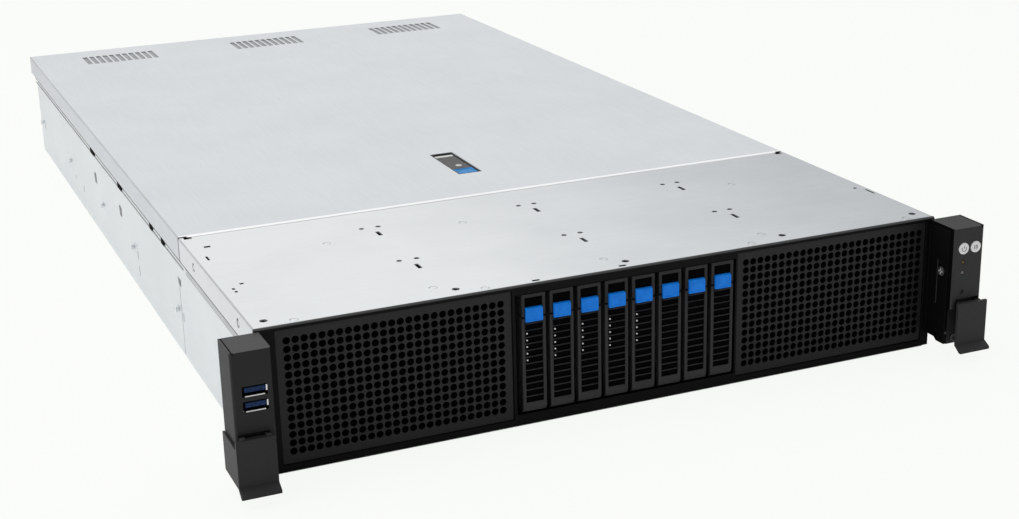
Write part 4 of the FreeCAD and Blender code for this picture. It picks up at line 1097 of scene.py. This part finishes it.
# %% Lamps
lamp_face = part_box("status_leds")[0].y - 0.02 * mm
lamp_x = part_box("right_ear")[0].x + 7.5 * mm
for name, drop, finish in (("amber_lamp", 8.9, lamp_amber), ("grey_lamp", 15.7, lamp_grey)):
    spot = Vector((lamp_x, lamp_face, power_face.z - drop * mm))
    lamp = start_bar(name, 1.05 * mm, spot + Vector((0, 0.1 * mm, 0)), spot + Vector((0, 2.0 * mm, 0)), 20)
    inset(lamp, to_front, 0.3)
    bpy.ops.transform.translate(value=(0.0, -0.08 * mm, 0.0))
    place(soften(close(lamp), 0.12 * mm), finish, "root", "white_plastic", "status_leds")
print("lamps placed")

# %% [markdown]
# ## Front sockets
# The two sockets are shells in the left ear, dark inside and painted black as shade. A blue
# tongue with gold contacts fills the upper half of each mouth. The shell's lip below it and a
# spring at its right end are bare steel, modelled as blocks of their own in a near-white finish that is a
# painted highlight.

# %% Where the sockets are
usb_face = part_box("usb_ports")[0].y
usb_width = 13.2 * mm
usb_height = 5.8 * mm
usb_left = -226.1 * mm - usb_width / 2
usb_right = usb_left + usb_width
ear_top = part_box("left_ear")[1].z
socket_middles = [ear_top - 22.5 * mm, ear_top - 31.0 * mm]
print("sockets at heights", [round(z, 4) for z in socket_middles])


# %% A socket's shell and tongue
def front_block(name, x, y, z):
    """A block from ranges: x in metres, y in millimetres behind the sockets' face, z in metres."""
    return start_block(name, (x[0], usb_face + y[0] * mm, z[0]), (x[1], usb_face + y[1] * mm, z[1]))


def usb_socket(n, middle):
    """A thin shell open at the front, its tongue, and the bright lip and spring in its mouth."""
    shell = front_block(f"socket_shell_{n}", (usb_left, usb_right), (0.05, 11.0),
                        (middle - usb_height / 2, middle + usb_height / 2))
    inset(shell, to_front, 0.45)
    push((0, (11.0 - 0.05) * 0.8 * mm, 0))
    soften(close(shell), 0.135 * mm)
    place(shell, shade_black, "root", "bright_steel", "usb_ports")
    tongue = front_block(f"socket_tongue_{n}", (usb_left + 0.7 * mm, usb_right - 1.3 * mm), (0.3, 10.0),
                         (middle - 0.5 * mm, middle + 2.2 * mm))
    place(soften(tongue, 0.15 * mm), tongue_blue, "root", "blue_plastic")
    lip = front_block("lip", (usb_left + 0.8 * mm, usb_right - 1.6 * mm), (-0.02, 0.8),
                      (middle - 2.85 * mm, middle - 2.3 * mm))
    spring = front_block("spring", (usb_right - 0.9 * mm, usb_right - 0.1 * mm), (-0.02, 0.8),
                         (middle - 0.8 * mm, middle + 2.5 * mm))
    place(soften(join(f"socket_edges_{n}", [lip, spring]), 0.1 * mm), painted_highlight_edge, "root", "bright_steel")
    contacts = [front_block("contact", (usb_left + (2.6 + 2.3 * k) * mm, usb_left + (3.7 + 2.3 * k) * mm),
                            (0.9, 9.0), (middle - 0.7 * mm, middle - 0.4 * mm)) for k in range(4)]
    place(soften(join(f"socket_contacts_{n}", contacts), 0.06 * mm, 1), contact_gold, "root", "bright_steel")


for n, middle in enumerate(socket_middles, 1):
    usb_socket(n, middle)
print("sockets placed")

# %% [markdown]
# ## Cover latch
# A flat handle lies in a moulded recess. Its blue tip is pressed to free it, and a coin
# slot beside the tip locks it.

# %% Handle
soft_copy("latch_lever", "latch_handle", 0.3 * mm, 2, lever_grey)
low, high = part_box("latch_lever")
strip = start_block("pan_band", (low.x + 0.2 * mm, high.y + 0.5 * mm, high.z - 2.4 * mm),
                    (high.x + 0.3 * mm, high.y + 4.6 * mm, high.z - 0.3 * mm))
close(inset(strip, to_top, 0.3))
place(soften(strip, 0.15 * mm), label_pale, body_of["latch_base"], "black_plastic")
print("handle placed, with a pale strip behind it")

# %% Coin lock
lock_spot = Vector(((low.x + high.x) / 2 + 0.6 * mm, low.y + 8.0 * mm, high.z))
lock = start_bar("coin_lock", 2.3 * mm, lock_spot - Vector((0, 0, 0.5 * mm)),
                 lock_spot + Vector((0, 0, 0.12 * mm)), 28)
carve(lock, start_block("slot", lock_spot + Vector((-1.7 * mm, -0.3 * mm, -0.2 * mm)),
                        lock_spot + Vector((1.7 * mm, 0.3 * mm, mm))))
place(soften(lock, 0.1 * mm), label_pale, "cover_lever", "bright_steel")
print("coin lock placed")

# %% Blue tip and the recess
tip = start_block("release_tip", *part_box("latch_tip"))
inset(tip, to_top, 1.2)
push((0, 0, -0.4 * mm))
place(soften(close(tip), 0.4 * mm, 3), tip_blue, "cover_release", "blue_plastic", "latch_tip")
soft_copy("latch_base", "latch_pan", 0.25 * mm, 2, pan_grey_and_gap_shadow)
print("tip and recess placed")

# %% [markdown]
# ## Studs and screws
# The rail studs are turned, with a head wider than the stem. The rack screws are knurled to be
# turned by hand, and every other screw has a cross recess. A turned piece is made of bars of
# different widths along one line, joined into one solid.

# %% Turned pieces
def turned(name, profile, foot, away, sides=28):
    """A turned piece: bars of (radius, from, to) in millimetres along a direction, made one."""
    foot, away = Vector(foot), Vector(away)
    parts = [start_bar(name, radius * mm, foot + away * (near * mm), foot + away * (far * mm), sides)
             for radius, near, far in profile]
    piece = parts[0]
    for part in parts[1:]:
        add_and_apply(piece, "BOOLEAN", object=part, operation="UNION", solver="EXACT")
        bpy.data.objects.remove(part)
    return piece


mounts = {mount["name"]: mount for mount in frame["record"]["mounts"]}
print("places for rails and screws:", len(mounts))

# %% One stud and its copies
wall_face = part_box("chassis_base")[1].x
stud_z = mounts["right_rail_studs"]["pos_m"][2]
stud_places = [face_y + y * mm for y in (208.0, 352.0, 470.0, 619.0, 772.0)]

stud = turned("stud", [(1.7, 0.0, 1.6), (2.6, 1.5, 2.6)], (wall_face, stud_places[0], stud_z), (1, 0, 0))
soften(stud, 0.25 * mm, 3)
for n, y in enumerate(stud_places, 1):
    right = copy_along(stud, f"right_stud_{n}", (0.0, y - stud_places[0], 0.0))
    place(mirror_of(right, f"left_stud_{n}"), zinc_wall, "root", "bright_steel", "fasteners")
    place(right, zinc_wall, "root", "bright_steel", "fasteners")
bpy.data.objects.remove(stud)
print("studs placed at", [round(y, 3) for y in stud_places])

# %% [markdown]
# ## Side walls
# Under the covers' flanges the wall steps in. Its shade is painted: a dark line of painted
# shadow with a paler band of painted shade below it. Four notches in the step are painted black
# as shade, and a few pressed pockets and slots further down hold the cage's hooks; the pockets
# are painted a darker grey as their shade. Each is a thin inlay just proud of the wall.

# %% A thin inlay
def inlay(name, y, z, rise=0.12, slant=0.0):
    """A thin inlay on the right wall, between two places along it and two heights."""
    piece = start_block(name, (wall_face - 0.4 * mm, face_y + y[0] * mm, z[0] * mm),
                        (wall_face + rise * mm, face_y + y[1] * mm, z[1] * mm))
    inset(piece, lambda middle, normal: normal.x > 0.9, 0.1)
    if slant:
        pick(piece, to_top)
        bpy.ops.transform.translate(value=(0.0, slant * mm, 0.0))
    return close(piece)


print("inlays ready")

# %% The step under the flanges
# The painted shadow and shade sit this far under the flange, below the part of the wall that its overhang
# hides.
flange_z = 72.0
line_drop = 4.5
line_z = flange_z - line_drop

both_sides([inlay("gap", (2.0, 798.0), (line_z - 0.6, flange_z))], "flange_painted_shadow", pan_grey_and_gap_shadow, "root",
           "black_plastic")
both_sides([inlay("step", (184.0, 796.0), (line_z - 4.3, line_z - 3.3)),
            inlay("step_edge", (2.0, 176.0), (line_z - 4.6, line_z - 4.1))], "step_line_painted_shade", painted_step_shade,
           "root", "galvanised_steel")
both_sides([inlay("band", (2.0, 176.0), (line_z - 4.1, line_z - 0.6))], "step_band_painted_shade", band_painted_shade_and_specks,
           "root", "galvanised_steel")
print("step lines placed")

# %% Notches, pockets and small marks, as (y, z) spans
notches = [(492.0, 509.0), (382.0, 397.0), (275.0, 284.0), (238.0, 247.0)]
pockets = [((493.0, 500.0), (41.0, 48.5)), ((391.0, 398.0), (41.5, 48.5)), ((195.0, 201.0), (49.0, 53.5))]
specks = [((562.0, 565.0), (16.0, 21.0)), ((601.0, 603.0), (18.0, 21.0)), ((763.0, 766.0), (25.0, 29.0)),
          ((338.0, 341.0), (24.0, 30.0)), ((337.5, 340.0), (12.0, 19.0)), ((199.0, 199.8), (1.0, 48.5)),
          ((193.5, 196.0), (25.0, 31.0))]
# Painted shade: the notches are black inlays, and the pockets are darker grey ones.
both_sides([inlay("notch", y, (line_z - 4.2, flange_z - 0.2), 0.3) for y in notches], "notches",
           shade_black, "root", "black_plastic")
both_sides([inlay("pocket", y, z, 0.12, 2.0) for y, z in pockets], "pockets", pocket_painted_shade, "root",
           "galvanised_steel")
both_sides([inlay("speck", y, z) for y, z in specks], "specks", band_painted_shade_and_specks, "root", "galvanised_steel")
print("side walls have", len(notches), "notches and", len(pockets), "pockets each")

# %% A cross-recess screw
def cross_screw(name, spot, away, radius, rise):
    """A flat screw head with rounded rim and a cross recess."""
    spot, away = Vector(spot), Vector(away)
    head = start_bar(name, radius, spot, spot + away * rise, 28)
    aim = Matrix.Translation(spot + away * rise) @ away.to_track_quat("Z", "Y").to_matrix().to_4x4()
    for turn in (45.0, 135.0):
        cutter = start_block("cross", (-radius * 0.6, -radius * 0.14, -rise),
                             (radius * 0.6, radius * 0.14, rise))
        cutter.data.transform(aim @ Matrix.Rotation(math.radians(turn), 4, "Z"))
        carve(head, cutter)
    return soften(head, radius * 0.12)


sides = ((1, "right"), (-1, "left"))
print("screws can be made")

# %% Screws behind the ears
# Each ear's side screw has a raised cross in a near-white finish that is a painted highlight, and a fine
# slit runs up the wall beside it.
for side, label in sides:
    seat = Vector((side * wall_face, face_y - 13.6 * mm, 55.6 * mm))
    screw = cross_screw(f"{label}_ear_screw", seat, (-side, 0, 0), 2.9 * mm, 1.0 * mm)
    place(screw, edge_highlight_and_screw_grey, "root", "bright_steel")
    cross = [start_block("bar", seat - Vector(size), seat + Vector(size))
             for size in ((1.25 * mm, 1.9 * mm, 0.45 * mm), (1.25 * mm, 0.45 * mm, 1.9 * mm))]
    place(soften(join(f"{label}_screw_cross", cross), 0.1 * mm), painted_highlight_edge, "root", "bright_steel")
    slit = start_block(f"{label}_wall_slit", (side * wall_face - 0.25 * mm, face_y - 9.7 * mm, 33.0 * mm),
                       (side * wall_face + 0.25 * mm, face_y - 9.1 * mm, 62.0 * mm))
    place(soften(slit, 0.1 * mm), lever_black, "root", "black_steel")
print("ear screws placed")

# %% Low screws on the ears' fronts
# A ray from in front finds the moulding's face, so that each head is seated on it.
for side, label in sides:
    mould = nodes[f"{label}_ear"].data
    surface = BVHTree.FromPolygons([corner.co for corner in mould.vertices],
                                   [face.vertices for face in mould.polygons])
    seat = surface.ray_cast(Vector((side * 224.0 * mm, face_y - 30 * mm, 11.8 * mm)), Vector((0, 1, 0)))[0]
    screw = cross_screw(f"{label}_low_screw", seat, (0, -1, 0), 2.8 * mm, 1.1 * mm)
    place(screw, lever_grey, "root", "bright_steel")
    print(label, "low screw sits at", [round(v, 4) for v in seat])

# %% Screws through the front cover's flanges
for side, label in sides:
    seat_x = side * (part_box("front_cover")[1].x - 1.6 * mm)
    for n, y in enumerate((33.4, 138.6), 1):
        screw = cross_screw(f"{label}_cover_screw_{n}", (seat_x, face_y + y * mm, top_z - 7.3 * mm),
                            (side, 0, 0), 1.5 * mm, 1.5 * mm)
        place(screw, zinc_wall, "root", "bright_steel")
print("cover screws placed")

# %% Captive rack screws
# Every second side of the round head is sunk a little, which knurls it for the fingers.
half_spacing = mounts["rack_screws"]["dims"]["spacing_x_mm"] / 2 * mm
rack_z = mounts["rack_screws"]["pos_m"][2]
head_front = face_y - 25.8 * mm
head_sides = 30


def knurled_head(name, x):
    """A thumb screw: a ridged head, a thin neck and a thread."""
    profile = [(4.6, 0.0, 6.0), (1.9, 5.8, 26.6), (2.45, 26.4, 33.7)]
    screw = turned(name, profile, (x, head_front, rack_z), (0, 1, 0), head_sides)

    def sunk(middle, normal):
        """True for every second side of the head."""
        up, across = middle.z - rack_z, middle.x - x
        step = int(round(math.degrees(math.atan2(up, across)) * head_sides / 360.0 + 0.5))
        return (abs(normal.y) < 0.1 and middle.y < head_front + 6.0 * mm
                and math.hypot(up, across) > 4.0 * mm and step % 2 == 0)

    close(inset(screw, sunk, 0.1, 0.3, True))
    carve(screw, start_block("slot", (x - 3.4 * mm, head_front - mm, rack_z - 0.5 * mm),
                             (x + 3.4 * mm, head_front + 1.2 * mm, rack_z + 0.5 * mm)))
    return soften(screw, 0.15 * mm)


for side, label in sides:
    place(knurled_head(f"{label}_rack_screw", side * half_spacing), bright_steel, "root", "bright_steel")
print("rack screws placed")

# %% [markdown]
# ## Rear side
# The rear is sheet steel round plug-in modules. The supplies have a perforated face, a
# mains inlet, a pull handle and an orange release tab.

# %% Rear sheet, card cages and supplies
soft_copy("rear_panel", "rear_wall", 0.2 * mm, 1, zinc_wall)
soft_copy("riser_cage", "card_cages", 0.25 * mm, 1, zinc_wall)
soft_copy("chassis_base", "chassis_sheet", 0.15 * mm, 1, zinc_wall)
for n in (1, 2):
    soft_copy(f"psu_latch_{n}", f"release_tab_{n}", 0.8 * mm, 3, tab_orange)
    soft_copy(f"power_supply_{n}", f"supply_body_{n}", 0.35 * mm, 2, supply_grey)
print("rear sheet parts softened")


# %% Openings and their liners
def openings(stem):
    """The corners of the record's openings whose names start with a stem."""
    return [[Vector(corner) for corner in opening["box_m"]]
            for opening in frame["record"]["physics"]["openings"] if opening["name"].startswith(stem)]


def liner(name, low, high, wall, depth):
    """A moulded lining of an opening, with its mouth sunk by millimetres."""
    piece = start_block(name, low, high)
    inset(piece, to_rear, wall)
    push((0, -depth * mm, 0))
    return close(piece)


print("openings at the rear:", len(openings("mains_inlet") + openings("network")))

# %% Mains inlets
rear_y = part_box("rear_panel")[1].y
for n, (low, high) in enumerate(openings("mains_inlet"), 1):
    middle = (low + high) / 2
    lining = liner(f"inlet_liner_{n}", low, (high.x, rear_y + 0.6 * mm, high.z), 1.4, 15.0)
    bevel(lining, lambda spot, along: abs(along.y) > 0.9 and spot.z > middle.z
          and abs(spot.x - middle.x) > 8 * mm, 3.2, 1)
    place(soften(lining, 0.2 * mm), fan_black, f"power_supply_{n}", "black_plastic")
    pins = []
    for across, up in ((-5.0, -1.5), (5.0, -1.5), (0.0, 2.0)):
        x, z = middle.x + across * mm, middle.z + up * mm
        pins.append(start_block("pin", (x - mm, low.y + 2.5 * mm, z - 1.9 * mm),
                                (x + mm, rear_y - 2.0 * mm, z + 1.9 * mm)))
    place(soften(join(f"inlet_pins_{n}", pins), 0.4 * mm), bright_steel, f"power_supply_{n}", "bright_steel")
print("inlets lined")

# %% Connectors on the board's rear edge
soft_copy("rear_ports", "rear_connectors", 0.25 * mm, 1, bright_steel)
for n, (low, high) in enumerate(openings("network"), 1):
    lining = liner(f"network_liner_{n}", low, (high.x, high.y - 2.2 * mm, high.z), 0.5, 10.5)
    place(soften(lining, 0.1 * mm, 1), fan_black, "root", "black_plastic")
    wires = []
    for k in range(8):
        x = low.x + (1.9 + 1.02 * k) * mm
        wires.append(start_block("wire", (x, low.y + 1.2 * mm, high.z - 2.2 * mm),
                                 (x + 0.4 * mm, high.y - 6 * mm, high.z - 1.6 * mm)))
    place(soften(join(f"network_wires_{n}", wires), 0.08 * mm, 1), contact_gold, "root", "bright_steel")
print("connectors placed")
